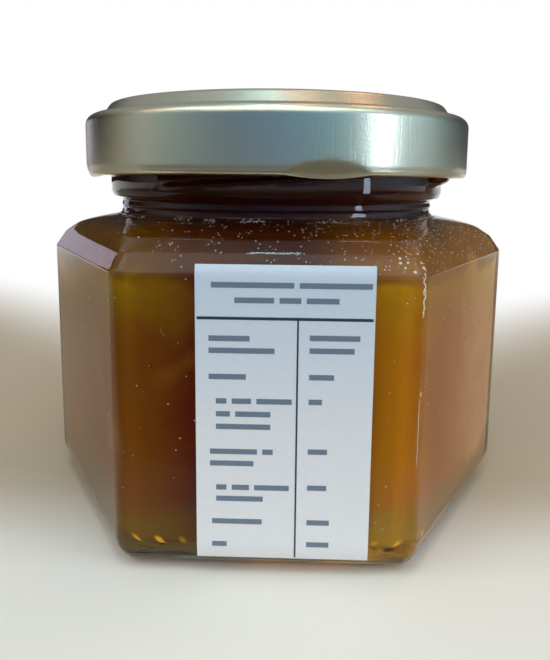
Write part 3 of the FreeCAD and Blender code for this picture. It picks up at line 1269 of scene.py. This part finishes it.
@dataclass
class TableLabel:
    """Paper strip with a plain ruled table whose lines of print are generic bars.

    Attributes:
        jar: The glass that it is glued to.
        left: X of its left edge.
        right: X of its right edge.
        low: Level of its foot.
        high: Level of its head.
        paper: Thickness of the paper with its glue.
        glue: How far the paper's back stands off the glass.
        stiffness: Share of the bevel's lean that the paper follows.
        head_rule: Distance of the level rule from the head, as a share of the height.
        split: Place of the upright rule from the left, as a share of the width.
        rule_half: Half the width of the level rule and of the upright rule.
        print_height: Height of a line of print.
        word_gap: Gap between words, as a share of the width.
    """

    jar: GlassJar
    left: float
    right: float
    low: float
    high: float
    paper: float = 0.15 * MM
    glue: float = 0.01 * MM
    stiffness: float = 0.8
    head_rule: float = 0.172
    split: float = 0.574
    rule_half: tuple[float, float] = (0.2 * MM, 0.12 * MM)
    print_height: float = 0.75 * MM
    word_gap: float = 0.03

    def skin(self, height: float) -> float:
        """Find where the label's back lies on the front face.

        Args:
            height: Level above the table.

        Returns:
            Distance in front of the jar's axis.
        """
        heel, wall_top = self.jar.heel, self.jar.wall_top
        if height < heel:
            return self.jar.flats - 0.55 * (heel - math.sqrt(heel ** 2 - (heel - height) ** 2))
        if height > wall_top:
            over = (height - wall_top) / self.jar.bevel_rise
            return self.jar.flats - self.stiffness * self.jar.bevel_inset * over ** 1.6
        return self.jar.flats

    def point(self, x: float, height: float, lift: float) -> Vector:
        """Point on the label's face, with a lift off the glass."""
        return Vector((x, -(self.skin(height) + lift), height))

    def sheet(self) -> bpy.types.Object:
        """Make the paper, thick enough to show its cut edge.

        Returns:
            The paper as one closed skin.
        """
        across, up = 16, 64
        vertices, faces = [], []
        for lift in (self.glue, self.paper):
            for j in range(up + 1):
                for i in range(across + 1):
                    x = self.left + (self.right - self.left) * i / across
                    z = self.low + (self.high - self.low) * j / up
                    vertices.append(self.point(x, z, lift))
        row = across + 1
        size = row * (up + 1)
        for j in range(up):
            for i in range(across):
                a = j * row + i
                faces.append((a, a + row, a + row + 1, a + 1))
                faces.append((size + a, size + a + 1, size + a + row + 1, size + a + row))
        for j in range(up):
            a, b = j * row, (j + 1) * row
            faces.append((a, size + a, size + b, b))
            c, d = a + across, b + across
            faces.append((c, d, size + d, size + c))
        for i in range(across):
            faces.append((i, i + 1, size + i + 1, size + i))
            t = up * row + i
            faces.append((t, size + t, size + t + 1, t + 1))
        made = new_object("label_paper", vertices, faces)
        made.data.set_sharp_from_angle(angle=math.radians(40))
        return made

    def bar(self, x0: float, x1: float, z0: float, z1: float) -> Skin:
        """Make a bar of ink that follows the label, rooted in the paper and a little proud of it.

        Args:
            x0: Its left end.
            x1: Its right end.
            z0: Its foot.
            z1: Its head.

        Returns:
            Vertices and faces.
        """
        proud, rooted = self.paper + 0.02 * MM, self.paper - 0.03 * MM
        up = max(1, int((z1 - z0) / (0.7 * MM)))  # short steps, so that it bends with the paper
        rings = []
        for j in range(up + 1):
            z = z0 + (z1 - z0) * j / up
            rings.append([self.point(x, z, lift) for x, lift in (
                (x0, proud), (x1, proud), (x1, rooted), (x0, rooted))])
        return surface_of_rings(rings)

    def rules(self) -> bpy.types.Object:
        """Make the table's two ruled lines.

        Returns:
            Both rules as one piece.
        """
        width, height = self.right - self.left, self.high - self.low
        level = self.high - self.head_rule * height
        split = self.left + self.split * width
        flat, upright = self.rule_half
        return joined("label_rules", [
            self.bar(self.left + 0.01 * width, self.right - 0.01 * width, level - flat, level + flat),
            self.bar(split - upright, split + upright, self.low + 0.2 * MM, level)], False)

    def print_bars(self) -> bpy.types.Object:
        """Make generic bars in the place of the lines of print.

        Returns:
            All bars as one piece.
        """
        width, height = self.right - self.left, self.high - self.low
        bars = []
        for row in LEFT_COLUMN + RIGHT_COLUMN:
            x = self.left + row.indent * width
            z = self.high - row.level * height
            for word in row.words:
                bars.append(self.bar(x, x + word * width, z - self.print_height / 2,
                                     z + self.print_height / 2))
                x += (word + self.word_gap) * width
        return joined("label_print", bars, False)


# --------------------------------------------------------------------------- scattered things
class Speck(Enum):
    """What a scatter is made of."""

    FIBRE = "fibre"
    BUBBLE = "bubble"
    FLAKE = "flake"


@dataclass
class Scatter:
    """Small things strewn over part of a piece by Geometry Nodes, as one plain mesh.

    Attributes:
        name: Name of the finished piece.
        speck: What is strewn.
        size: Length of a fibre, or radius of a bubble or flake.
        spread: Smallest and largest scale of a speck.
        density: Specks for each square metre.
        seed: Fixed seed of the random draws.
        lift: How far the specks stand out of the surface.
    """

    name: str
    speck: Speck
    size: float
    spread: tuple[float, float]
    density: float
    seed: int
    lift: float = 0.0

    def host(self, piece: bpy.types.Object, keep: Keep) -> bpy.types.Object:
        """Copy the faces of a piece that the specks lie on.

        Args:
            piece: The piece that carries them.
            keep: Says from a face's centre and normal whether it carries specks.

        Returns:
            An object with those faces alone.
        """
        mesh = piece.data
        faces = [tuple(p.vertices) for p in mesh.polygons if keep(p.center, p.normal)]
        used = sorted({v for face in faces for v in face})
        order = {v: k for k, v in enumerate(used)}
        return new_object(self.name + "_host", [mesh.vertices[v].co for v in used],
                          [[order[v] for v in face] for face in faces])

    def sample(self, tree: bpy.types.NodeTree, size: bpy.types.NodeSocket) -> bpy.types.NodeSocket:
        """Add the nodes of one speck, lying in its own XY plane.

        Args:
            tree: The node group.
            size: Socket that gives its size.

        Returns:
            The speck's geometry.
        """
        if self.speck is Speck.FIBRE:
            line = add_node(tree, "GeometryNodeCurveQuadraticBezier",
                            {"Resolution": 8, "Start": (-0.5, 0, 0), "Middle": (0.05, 0.28, 0),
                             "End": (0.5, -0.06, 0)})
            along = add_node(tree, "GeometryNodeSplineParameter")
            belly = add_node(tree, "ShaderNodeFloatCurve", links={"Value": along.outputs["Factor"]})
            points = belly.mapping.curves[0].points
            points[0].location, points[-1].location = (0.0, 0.15), (1.0, 0.1)
            points.new(0.4, 1.0)
            belly.mapping.update()
            tapered = add_node(tree, "GeometryNodeSetCurveRadius",
                               links={"Curve": line.outputs[0], "Radius": belly.outputs[0]})
            section = add_node(tree, "GeometryNodeCurvePrimitiveCircle",
                               {"Resolution": 6, "Radius": 0.045})
            shape = add_node(tree, "GeometryNodeCurveToMesh", {"Fill Caps": True},
                             {"Curve": tapered.outputs[0], "Profile Curve": section.outputs[0]})
        else:
            shape = add_node(tree, "GeometryNodeMeshIcoSphere",
                             {"Radius": 1.0, "Subdivisions": 3 if self.speck is Speck.BUBBLE else 1})
        flat = 0.35 if self.speck is Speck.FLAKE else 1.0
        scale = add_node(tree, "ShaderNodeVectorMath", {0: (1, 1, flat)}, {"Scale": size}, operation="SCALE")
        return add_node(tree, "GeometryNodeTransform",
                        links={"Geometry": shape.outputs[0], "Scale": scale.outputs[0]}).outputs[0]

    def group(self, material: bpy.types.Material) -> bpy.types.NodeTree:
        """Build the node group: strew, turn, scale, realise, dress.

        Args:
            material: Finish of the specks.

        Returns:
            The node group.
        """
        tree = bpy.data.node_groups.new(self.name, "GeometryNodeTree")
        face = tree.interface
        face.new_socket("Geometry", in_out="INPUT", socket_type="NodeSocketGeometry")
        for label in ("Size", "Density", "Smallest", "Largest", "Lift"):
            face.new_socket(label, in_out="INPUT", socket_type="NodeSocketFloat")
        face.new_socket("Seed", in_out="INPUT", socket_type="NodeSocketInt")
        face.new_socket("Geometry", in_out="OUTPUT", socket_type="NodeSocketGeometry")
        given = add_node(tree, "NodeGroupInput").outputs
        points = add_node(tree, "GeometryNodeDistributePointsOnFaces", links={
            "Mesh": given["Geometry"], "Density": given["Density"], "Seed": given["Seed"]})
        out = add_node(tree, "ShaderNodeVectorMath", operation="SCALE",
                       links={0: points.outputs["Normal"], "Scale": given["Lift"]})
        stood = add_node(tree, "GeometryNodeSetPosition",
                         links={"Geometry": points.outputs["Points"], "Offset": out.outputs[0]})
        spin = add_node(tree, "FunctionNodeRandomValue", {0: (0, 0, 0), 1: (0, 0, 2 * math.pi)},
                        {"Seed": given["Seed"]}, data_type="FLOAT_VECTOR")
        turn = add_node(tree, "FunctionNodeEulerToRotation", links={0: spin.outputs[0]})
        aligned = add_node(tree, "FunctionNodeRotateRotation", rotation_space="LOCAL", links={
            "Rotation": points.outputs["Rotation"], "Rotate By": turn.outputs[0]})
        scale = add_node(tree, "FunctionNodeRandomValue", data_type="FLOAT", links={
            2: given["Smallest"], 3: given["Largest"], "Seed": given["Seed"]})
        strewn = add_node(tree, "GeometryNodeInstanceOnPoints", links={
            "Points": stood.outputs[0], "Instance": self.sample(tree, given["Size"]),
            "Rotation": aligned.outputs[0], "Scale": scale.outputs[1]})
        whole = add_node(tree, "GeometryNodeRealizeInstances", links={"Geometry": strewn.outputs[0]})
        dressed = add_node(tree, "GeometryNodeSetMaterial", {"Material": material},
                           {"Geometry": whole.outputs[0]})
        add_node(tree, "NodeGroupOutput", links={"Geometry": dressed.outputs[0]})
        return tree

    def build(self, piece: bpy.types.Object, keep: Keep,
              material: bpy.types.Material) -> bpy.types.Object:
        """Strew the specks and return them as a plain mesh object.

        Args:
            piece: The piece that carries them.
            keep: Says from a face's centre and normal whether it carries specks.
            material: Their finish.

        Returns:
            The finished object.
        """
        host = self.host(piece, keep)
        tree = self.group(material)
        grown = host.modifiers.new(self.name, "NODES")
        grown.node_group = tree
        values = {"Size": self.size, "Density": self.density, "Smallest": self.spread[0],
                  "Largest": self.spread[1], "Lift": self.lift, "Seed": self.seed}
        for item in tree.interface.items_tree:
            if item.in_out == "INPUT" and item.name in values:
                grown[item.identifier] = values[item.name]
        view = bpy.context.evaluated_depsgraph_get()
        mesh = bpy.data.meshes.new_from_object(host.evaluated_get(view))
        host.modifiers.remove(grown)
        bpy.data.objects.remove(host)
        mesh.polygons.foreach_set("use_smooth", [True] * len(mesh.polygons))
        made = bpy.data.objects.new(self.name, mesh)
        bpy.context.scene.collection.objects.link(made)
        return made


@dataclass
class PaintedCornerHighlight:
    """Painted highlights down a corner of the jar, drawn as thin beaded pale strands.

    Attributes:
        jar: The glass that carries them.
        corner: Azimuth of that corner.
        strands: Top, foot, half width, sideways offset and sideways wander of each strand.
        sides: Number of points round a strand.
    """

    jar: GlassJar
    corner: float = FRONT + HALF_FACE
    strands: tuple[tuple[float, float, float, float, float], ...] = (
        (43.3 * MM, 37.4 * MM, 0.15 * MM, 0.15 * MM, 0.26 * MM),
        (41.3 * MM, 40.3 * MM, 0.09 * MM, 0.40 * MM, 0.25 * MM),
        (27.4 * MM, 26.6 * MM, 0.11 * MM, 0.35 * MM, 0.50 * MM),
        (26.7 * MM, 16.6 * MM, 0.05 * MM, 0.10 * MM, 0.08 * MM))
    sides: int = 8

    def strand(self, number: int) -> list[list[Vector]]:
        """Make one strand, which wanders sideways and thickens into beads.

        Args:
            number: Which strand.

        Returns:
            Its rings, from foot to top.
        """
        top, foot, wide, offset, wander = self.strands[number]
        steps = max(6, round((top - foot) / (0.1 * MM)))
        rings = []
        for k in range(steps + 1):
            share = k / steps
            height = foot + (top - foot) * share
            drift = offset + wander * noise.noise((number, height / (0.7 * MM), 0))
            beads = 0.75 + 0.8 * noise.noise((number + 9, height / (0.22 * MM), 0))
            half = wide * max(0.15, min(beads, 8 * share, 8 * (1 - share)))
            azimuth = self.corner + drift / self.jar.flats
            radial = Vector((math.cos(azimuth), math.sin(azimuth), 0))
            aside = Vector((-radial.y, radial.x, 0))
            # over the edge of the bevel the strand leans in with the glass
            over = max(0.0, height - self.jar.wall_top + 0.4 * MM) * 0.4
            centre = radial * (Station(self.jar.flats, height, self.jar.corner).radius(azimuth) - over)
            centre.z = height
            turns = (2 * math.pi * i / self.sides for i in range(self.sides))
            rings.append([centre + radial * 0.5 * half * math.cos(t) + aside * half * math.sin(t)
                          for t in turns])
        return rings

    def build(self) -> bpy.types.Object:
        """Make all strands as one piece."""
        return joined("corner_painted_highlight", [surface_of_rings(self.strand(number))
                                       for number in range(len(self.strands))])


@dataclass
class SmallThings:
    """Where the shreds, bubbles, dust and pale beads lie, and what they are; the pale beads paint glints and
    highlights on the glass.

    Each method that takes a face's centre and normal says whether that face carries specks.

    Attributes:
        jar: The glass body's sizes.
        drop_level: Level of the pale drops on the corner's bevel.
    """

    jar: GlassJar
    drop_level: float = 44.6 * MM

    def on_jam_side(self, at: Vector, out: Vector) -> bool:
        """Upright sides of the jam, clear of the bevel."""
        return abs(out.z) < 0.2 and at.z < self.jar.wall_top - 4 * MM

    def in_wall(self, at: Vector, out: Vector) -> bool:
        """Sides of the jam above the heel, for bubbles that stand out into the glass."""
        return abs(out.z) < 0.5 and 12 * MM < at.z < self.jar.wall_top

    def on_shoulder(self, at: Vector, out: Vector) -> bool:
        """Patches of the shoulder, 2.4 mm wide and more of them towards the right."""
        on_it = out.z > 0.35 and self.jar.wall_top < at.z < self.jar.shoulder_top
        return on_it and noise.noise(at * 420) > -0.1 - at.x / (55 * MM)

    def on_wall(self, at: Vector, out: Vector) -> bool:
        """Outside of the glass sides and the bevel."""
        upright = abs(out.z) < 0.6 and self.jar.heel < at.z < self.jar.wall_top + self.jar.bevel_rise
        return upright and at.xy.length > self.jar.flats - 2 * MM

    def at_root(self, at: Vector, out: Vector) -> bool:
        """Patches of the crease between shoulder and neck, 3.3 mm wide, that carry painted glints."""
        near = abs(at.z - self.jar.shoulder_top - 0.1 * MM) < 0.35 * MM
        return near and at.xy.length < self.jar.neck + 1 * MM and noise.noise(at * 300) > 0.05

    def at_corner(self, at: Vector, out: Vector) -> bool:
        """Bevel of the corner with the painted highlight strands, where the pale drops lie."""
        near = abs(at.z - self.drop_level) < 1.4 * MM and out.xy.length > 0.6
        return near and abs(math.atan2(at.y, at.x) - FRONT - HALF_FACE + 0.02) < 0.05

    def build(self, glass: bpy.types.Object, jam: bpy.types.Object) -> dict[bpy.types.Object, str]:
        """Strew everything.

        Args:
            glass: The glass body.
            jam: The jam.

        Returns:
            The record's material slot of each new piece.
        """
        lint, glint_beads = LINT.material(), PALE_BEADS_AND_PAINTED_GLINTS.material()
        strewn = (
            ("pumpkin_jam", jam, self.on_jam_side, SHRED.material(),
             Scatter("jam_shreds", Speck.FIBRE, 2.2 * MM, (0.4, 1.1), 1200.0, 5)),
            ("clear_glass", jam, self.in_wall, TrappedAir().material(),
             Scatter("glass_bubbles", Speck.BUBBLE, 0.2 * MM, (0.4, 1.5), 3500.0, 4, 0.5 * MM)),
            ("clear_glass", glass, self.on_shoulder, lint,
             Scatter("shoulder_dust", Speck.FLAKE, 0.078 * MM, (0.5, 1.4), 9.0e5, 7)),
            ("clear_glass", glass, self.on_wall, lint,
             Scatter("wall_dust", Speck.FLAKE, 0.07 * MM, (0.5, 1.5), 40000.0, 8)),
            # painted glints: pale flakes along the neck's root
            ("clear_glass", glass, self.at_root, glint_beads,
             Scatter("root_painted_glints", Speck.FLAKE, 0.10 * MM, (0.4, 1.3), 3.2e6, 5)),
            # pale drops on the corner's bevel, whose brightness is a painted glint
            ("clear_glass", glass, self.at_corner, glint_beads,
             Scatter("corner_drops", Speck.FLAKE, 0.28 * MM, (0.6, 1.1), 9.0e5, 9)))
        slots = {scatter.build(piece, keep, material): slot
                 for slot, piece, keep, material, scatter in strewn}
        # painted highlight: pale strands down the corner
        slots[give(PaintedCornerHighlight(self.jar).build(), glint_beads)] = "clear_glass"
        return slots


# --------------------------------------------------------------------------- the studio
@dataclass(frozen=True)
class Lamp:
    """A soft rectangular lamp that faces the jar.

    Attributes:
        name: Its name.
        azimuth: Angle from the camera's side, positive to the right, in degrees.
        height: Level of its middle.
        distance: Distance from the jar's axis.
        size: Width and height.
        power: Watts.
        colour: sRGB hex colour.
    """

    name: str
    azimuth: float
    height: float
    distance: float
    size: tuple[float, float]
    power: float
    colour: str


LAMPS = (
    Lamp("window_right", 60.2, 0.13, 0.50, (0.046, 0.22), 0.46, "#d4e4ff"),
    Lamp("softbox", -2, 0.58, 0.46, (0.85, 0.42), 2.3, "#f5f6f2"),
    Lamp("ceiling_tube", -4.5, 0.62, 0.22, (0.055, 0.10), 0.36, "#ccf0ff"),
    Lamp("left_window", -58, 0.50, 0.45, (0.26, 0.16), 0.34, "#d8f0f4"),
    Lamp("right_window", 58, 0.50, 0.45, (0.24, 0.16), 0.26, "#d8f4f4"),
    Lamp("cyan_pane", 30, 0.52, 0.42, (0.07, 0.06), 0.12, "#58d8ff"),
    Lamp("warm_shade", -76, 0.36, 0.45, (0.06, 0.06), 0.09, "#ff9a50"),
    Lamp("skylight", -90, 0.64, 0.09, (0.06, 0.08), 0.05, "#60d4ff"),
    Lamp("warm_bulb", 90, 0.62, 0.09, (0.08, 0.08), 0.11, "#ffb878"),
    Lamp("warm_bulb_far", 116, 0.54, 0.27, (0.08, 0.08), 0.17, "#ffb878"),
    Lamp("doorway", -140, 0.14, 0.90, (0.22, 0.14), 0.105, "#dcd8f4"))


@dataclass
class Studio:
    """Pale floor with a band of painted shade in front, dim room, soft lamps and the camera.

    Attributes:
        size: Width, depth and height of the jar.
        distance: Distance of the camera from the jar's axis.
        eye: Its level.
        azimuth: How far it stands to the right of the front.
        tilt: How far it looks down.
        roll: How far it leans.
        lens: Focal length in millimetres.
        sensor: Width of its sensor in millimetres.
        shift: How far the view is shifted, as a share of the sensor.
        clip: Nearest and farthest distance that it sees.
        floor_half: Half the floor's width.
        floor_tones: Y and colour of the floor, from the front to the back; the dark band in front of the jar
            is painted shade.
        wedge: Slope, start and end of the white that opens out behind the jar.
        distant: Distances from the jar where the floor starts to turn white and is white.
        room_level: Brightness of the room.
        sky: Y of a direction and colour of the ceiling there.
        room: Azimuth from the front in degrees and colour of the walls there.
        ceiling_edge: Z of the directions where the walls end and the ceiling is full.
        backdrop: Y of the directions where the white backdrop begins and is full.
    """

    size: Vector
    distance: float = 119.4 * MM
    eye: float = 55.5 * MM
    azimuth: float = math.radians(1.72)
    tilt: float = math.radians(8.62)
    roll: float = math.radians(0.567)
    lens: float = 35.3
    sensor: float = 36.0
    shift: tuple[float, float] = (-0.00085, -0.0811)
    clip: tuple[float, float] = (0.01, 20.0)
    floor_half: float = 6.0
    # painted shade: the dark band from Y -0.5 to -0.08 lies in front of the jar, where the front face of the
    # glass mirrors it
    floor_tones: tuple[tuple[float, str], ...] = (
        (-1.2, "#e6dccf"), (-0.5, "#786c5c"), (-0.080, "#786c5c"), (-0.056, "#e6dccf"),
        (-0.036, "#e6dccf"), (-0.004, "#b8a58c"), (0.4, "#b8a58c"), (0.9, "#e6dccf"))
    wedge: tuple[float, float, float] = (0.75, 0.01, 0.12)
    distant: tuple[float, float] = (1.3, 2.4)
    room_level: float = 1.6
    sky: tuple[tuple[float, str], ...] = (
        (-0.45, "#97a9b4"), (-0.25, "#bccad0"), (0.0, "#8f9aa0"), (0.35, "#8c8f92"))
    room: tuple[tuple[float, str], ...] = (
        (-180, "#313131"), (-135, "#1d1d1d"), (-114, "#252525"), (-97, "#7f786e"), (-80, "#a5b3b7"),
        (-60, "#829aa7"), (-24, "#3f6889"), (0, "#4778ac"), (24, "#5391bc"), (46, "#82b3cd"),
        (75, "#bce1f8"), (93, "#a5c6dc"), (112, "#5e707c"), (135, "#2c363b"), (180, "#313131"))
    ceiling_edge: tuple[float, float] = (0.28, 0.60)
    backdrop: tuple[float, float] = (0.93, 0.985)

    def camera(self) -> None:
        """Set the camera close to the front, below the lid's top and looking a little down."""
        data = bpy.data.cameras.new("camera")
        data.lens, data.sensor_width = self.lens, self.sensor
        data.shift_x, data.shift_y = self.shift
        data.clip_start, data.clip_end = self.clip
        seen = bpy.data.objects.new("camera", data)
        bpy.context.scene.collection.objects.link(seen)
        seen.location = (self.distance * math.sin(self.azimuth),
                         -self.distance * math.cos(self.azimuth), self.eye)
        seen.rotation_mode = "QUATERNION"
        look = Vector((-math.sin(self.azimuth) * math.cos(self.tilt),
                       math.cos(self.azimuth) * math.cos(self.tilt), -math.sin(self.tilt)))
        seen.rotation_quaternion = look.to_track_quat("-Z", "Y") @ Quaternion((0, 0, 1), self.roll)
        bpy.context.scene.camera = seen

    def floor(self) -> None:
        """Lay a wide pale floor that fades to white behind the jar and far off."""
        half = self.floor_half
        corners = [(-half, -half, 0), (half, -half, 0), (half, half, 0), (-half, half, 0)]
        plane = new_object("floor", corners, [(0, 1, 2, 3)])
        made = blank_material("floor_paper_matt")
        tree = made.node_tree
        place = add_node(tree, "ShaderNodeTexCoord")
        axes = add_node(tree, "ShaderNodeSeparateXYZ", links={0: place.outputs["Object"]})
        near, far = self.floor_tones[0][0], self.floor_tones[-1][0]
        # the strip's dark band in front of the jar is painted shade
        strip = add_node(tree, "ShaderNodeValToRGB", links={0: add_node(
            tree, "ShaderNodeMapRange", {"From Min": near, "From Max": far},
            {"Value": axes.outputs["Y"]}).outputs[0]})
        strip.color_ramp.interpolation = "EASE"
        ramp_stops(strip, [((y - near) / (far - near), code) for y, code in self.floor_tones])
        aside = add_node(tree, "ShaderNodeMath", links={0: axes.outputs["X"]}, operation="ABSOLUTE")
        slope, begin, full = self.wedge
        wedge = add_node(tree, "ShaderNodeMath", {1: -slope}, {0: aside.outputs[0], 2: axes.outputs["Y"]},
                         operation="MULTIPLY_ADD")
        fade = add_node(tree, "ShaderNodeMapRange", {"From Min": begin, "From Max": full},
                        {"Value": wedge.outputs[0]}, interpolation_type="SMOOTHSTEP")
        reach = add_node(tree, "ShaderNodeVectorMath", links={0: place.outputs["Object"]},
                         operation="LENGTH")
        distant = add_node(tree, "ShaderNodeMapRange",
                           {"From Min": self.distant[0], "From Max": self.distant[1]},
                           {"Value": reach.outputs["Value"]}, interpolation_type="SMOOTHSTEP")
        pale = add_node(tree, "ShaderNodeMath", links={0: fade.outputs[0], 1: distant.outputs[0]},
                        operation="MAXIMUM")
        share = add_node(tree, "ShaderNodeMath", links={0: pale.outputs[0], 1: self.shown_rays(tree)},
                         operation="MULTIPLY")
        rough = add_node(tree, "ShaderNodeBsdfDiffuse", links={"Color": strip.outputs[0]})
        white = add_node(tree, "ShaderNodeEmission", {"Color": (1, 1, 1, 1), "Strength": 1.0})
        both = add_node(tree, "ShaderNodeMixShader",
                        links={0: share.outputs[0], 1: rough.outputs[0], 2: white.outputs[0]})
        add_node(tree, "ShaderNodeOutputMaterial", links={"Surface": both.outputs[0]})
        give(plane, made)

    def shown_rays(self, tree: bpy.types.NodeTree) -> bpy.types.NodeSocket:
        """Add the nodes that tell the rays that show a surface from those that light it.

        Args:
            tree: Node tree of the surface or the world.

        Returns:
            1 for camera, glossy and transmitted rays and 0 for the rest.
        """
        path = add_node(tree, "ShaderNodeLightPath")
        mirror = add_node(tree, "ShaderNodeMath", operation="MAXIMUM", links={
            0: path.outputs["Is Glossy Ray"], 1: path.outputs["Is Transmission Ray"]})
        return add_node(tree, "ShaderNodeMath", operation="MAXIMUM", links={
            0: path.outputs["Is Camera Ray"], 1: mirror.outputs[0]}).outputs[0]

    def world(self) -> None:
        """Set a dim room with a white backdrop behind the jar, and plain white to the camera."""
        world = bpy.data.worlds.new("studio")
        bpy.context.scene.world = world
        world.use_nodes = True
        tree = world.node_tree
        tree.nodes.clear()
        place = add_node(tree, "ShaderNodeTexCoord")
        axes = add_node(tree, "ShaderNodeSeparateXYZ", links={0: place.outputs["Generated"]})
        ahead = add_node(tree, "ShaderNodeMath", {1: -1.0}, {0: axes.outputs["Y"]}, operation="MULTIPLY")
        turn = add_node(tree, "ShaderNodeMath", links={0: axes.outputs["X"], 1: ahead.outputs[0]},
                        operation="ARCTAN2")
        share = add_node(tree, "ShaderNodeMapRange", {"From Min": -math.pi, "From Max": math.pi},
                         {"Value": turn.outputs[0]})
        horizon = add_node(tree, "ShaderNodeValToRGB", links={0: share.outputs[0]})
        ramp_stops(horizon, [((azimuth + 180) / 360, code) for azimuth, code in self.room])
        raised = add_node(tree, "ShaderNodeMapRange",
                          {"From Min": self.ceiling_edge[0], "From Max": self.ceiling_edge[1]},
                          {"Value": axes.outputs["Z"]}, interpolation_type="SMOOTHSTEP")
        depth = add_node(tree, "ShaderNodeMapRange", {"From Min": -1.0, "From Max": 1.0},
                         {"Value": axes.outputs["Y"]})
        ceiling = add_node(tree, "ShaderNodeValToRGB", links={0: depth.outputs[0]})
        ramp_stops(ceiling, [((y + 1) / 2, code) for y, code in self.sky])
        around = add_node(tree, "ShaderNodeMix", data_type="RGBA", links={
            0: raised.outputs[0], 6: horizon.outputs[0], 7: ceiling.outputs[0]})
        dim = add_node(tree, "ShaderNodeBackground", {"Strength": self.room_level},
                       {"Color": around.outputs[2]})
        white = add_node(tree, "ShaderNodeBackground", {"Color": (1, 1, 1, 1), "Strength": 1.0})
        behind = add_node(tree, "ShaderNodeMapRange",
                          {"From Min": self.backdrop[0], "From Max": self.backdrop[1]},
                          {"Value": axes.outputs["Y"]}, interpolation_type="SMOOTHSTEP")
        shown = add_node(tree, "ShaderNodeMath", operation="MULTIPLY", links={
            0: behind.outputs[0], 1: self.shown_rays(tree)})
        path = add_node(tree, "ShaderNodeLightPath")
        plain = add_node(tree, "ShaderNodeMath", operation="MAXIMUM", links={
            0: shown.outputs[0], 1: path.outputs["Is Camera Ray"]})
        both = add_node(tree, "ShaderNodeMixShader",
                        links={0: plain.outputs[0], 1: dim.outputs[0], 2: white.outputs[0]})
        add_node(tree, "ShaderNodeOutputWorld", links={0: both.outputs[0]})

    def hang(self, lamp: Lamp) -> None:
        """Add a lamp, which the camera doesn't see.

        Args:
            lamp: Its place, size and light.
        """
        data = bpy.data.lights.new(lamp.name, "AREA")
        data.shape, data.size, data.size_y = "RECTANGLE", *lamp.size
        data.energy, data.color = lamp.power, linear(lamp.colour)[:3]
        made = bpy.data.objects.new(lamp.name, data)
        bpy.context.scene.collection.objects.link(made)
        made.visible_camera = False
        angle = FRONT + math.radians(lamp.azimuth)
        made.location = (lamp.distance * math.cos(angle), lamp.distance * math.sin(angle), lamp.height)
        aim = Vector((0, 0, self.size.z * 0.5)) - made.location
        made.rotation_euler = aim.to_track_quat("-Z", "Y").to_euler()

    def build(self) -> None:
        """Set up the whole studio."""
        self.camera()
        self.floor()
        self.world()
        for lamp in LAMPS:
            self.hang(lamp)
        bpy.context.scene.view_settings.view_transform = "Standard"


def main() -> None:
    """Build every piece in order and dress the CAD nodes that stay."""
    logging.basicConfig(level=logging.INFO, format="%(message)s")
    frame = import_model()
    jar_low, jar_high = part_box("glass_jar")
    jar = GlassJar(height=jar_high.z, flats=jar_high.y)
    glass = give(jar.build(), PressedGlass().material())
    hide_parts("glass_jar")
    jam_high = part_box("jam")[1]
    fill = JamFill(jar, jam_high.z)
    jam = give(fill.build(), BoiledPumpkin().material(jar.floor, jar.wall_top))
    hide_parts("jam")
    lid_low, lid_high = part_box("lid")
    lid_maker = TwistLid(radius=lid_high.x, top=lid_high.z, bottom=lid_low.z + TwistLid.lug_drop)
    lid = give(lid_maker.build(), SatinLacquer().material())
    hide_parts("lid")
    label_low, label_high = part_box("label")
    table = TableLabel(jar, label_low.x, label_high.x, label_low.z, label_high.z)
    paper = give(table.sheet(), CoatedPaper().material(label_low.z, label_high.z))
    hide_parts("label")
    rules = give(table.rules(), RULE_INK.material())
    words = give(table.print_bars(), PRINT_INK.material())
    give(frame["nodes"]["lid_seal"], SEAL_COMPOUND.material())
    slots = {glass: "clear_glass", jam: "pumpkin_jam", lid: "lacquered_tinplate", paper: "label_paper",
             rules: "label_paper", words: "label_paper", **SmallThings(jar).build(glass, jam)}
    for piece, slot in slots.items():
        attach(piece, BODY)
        log.info("%s: %d faces", piece.name, len(piece.data.polygons))
    Studio(jar_high - jar_low).build()


if __name__ == "__main__":
    main()
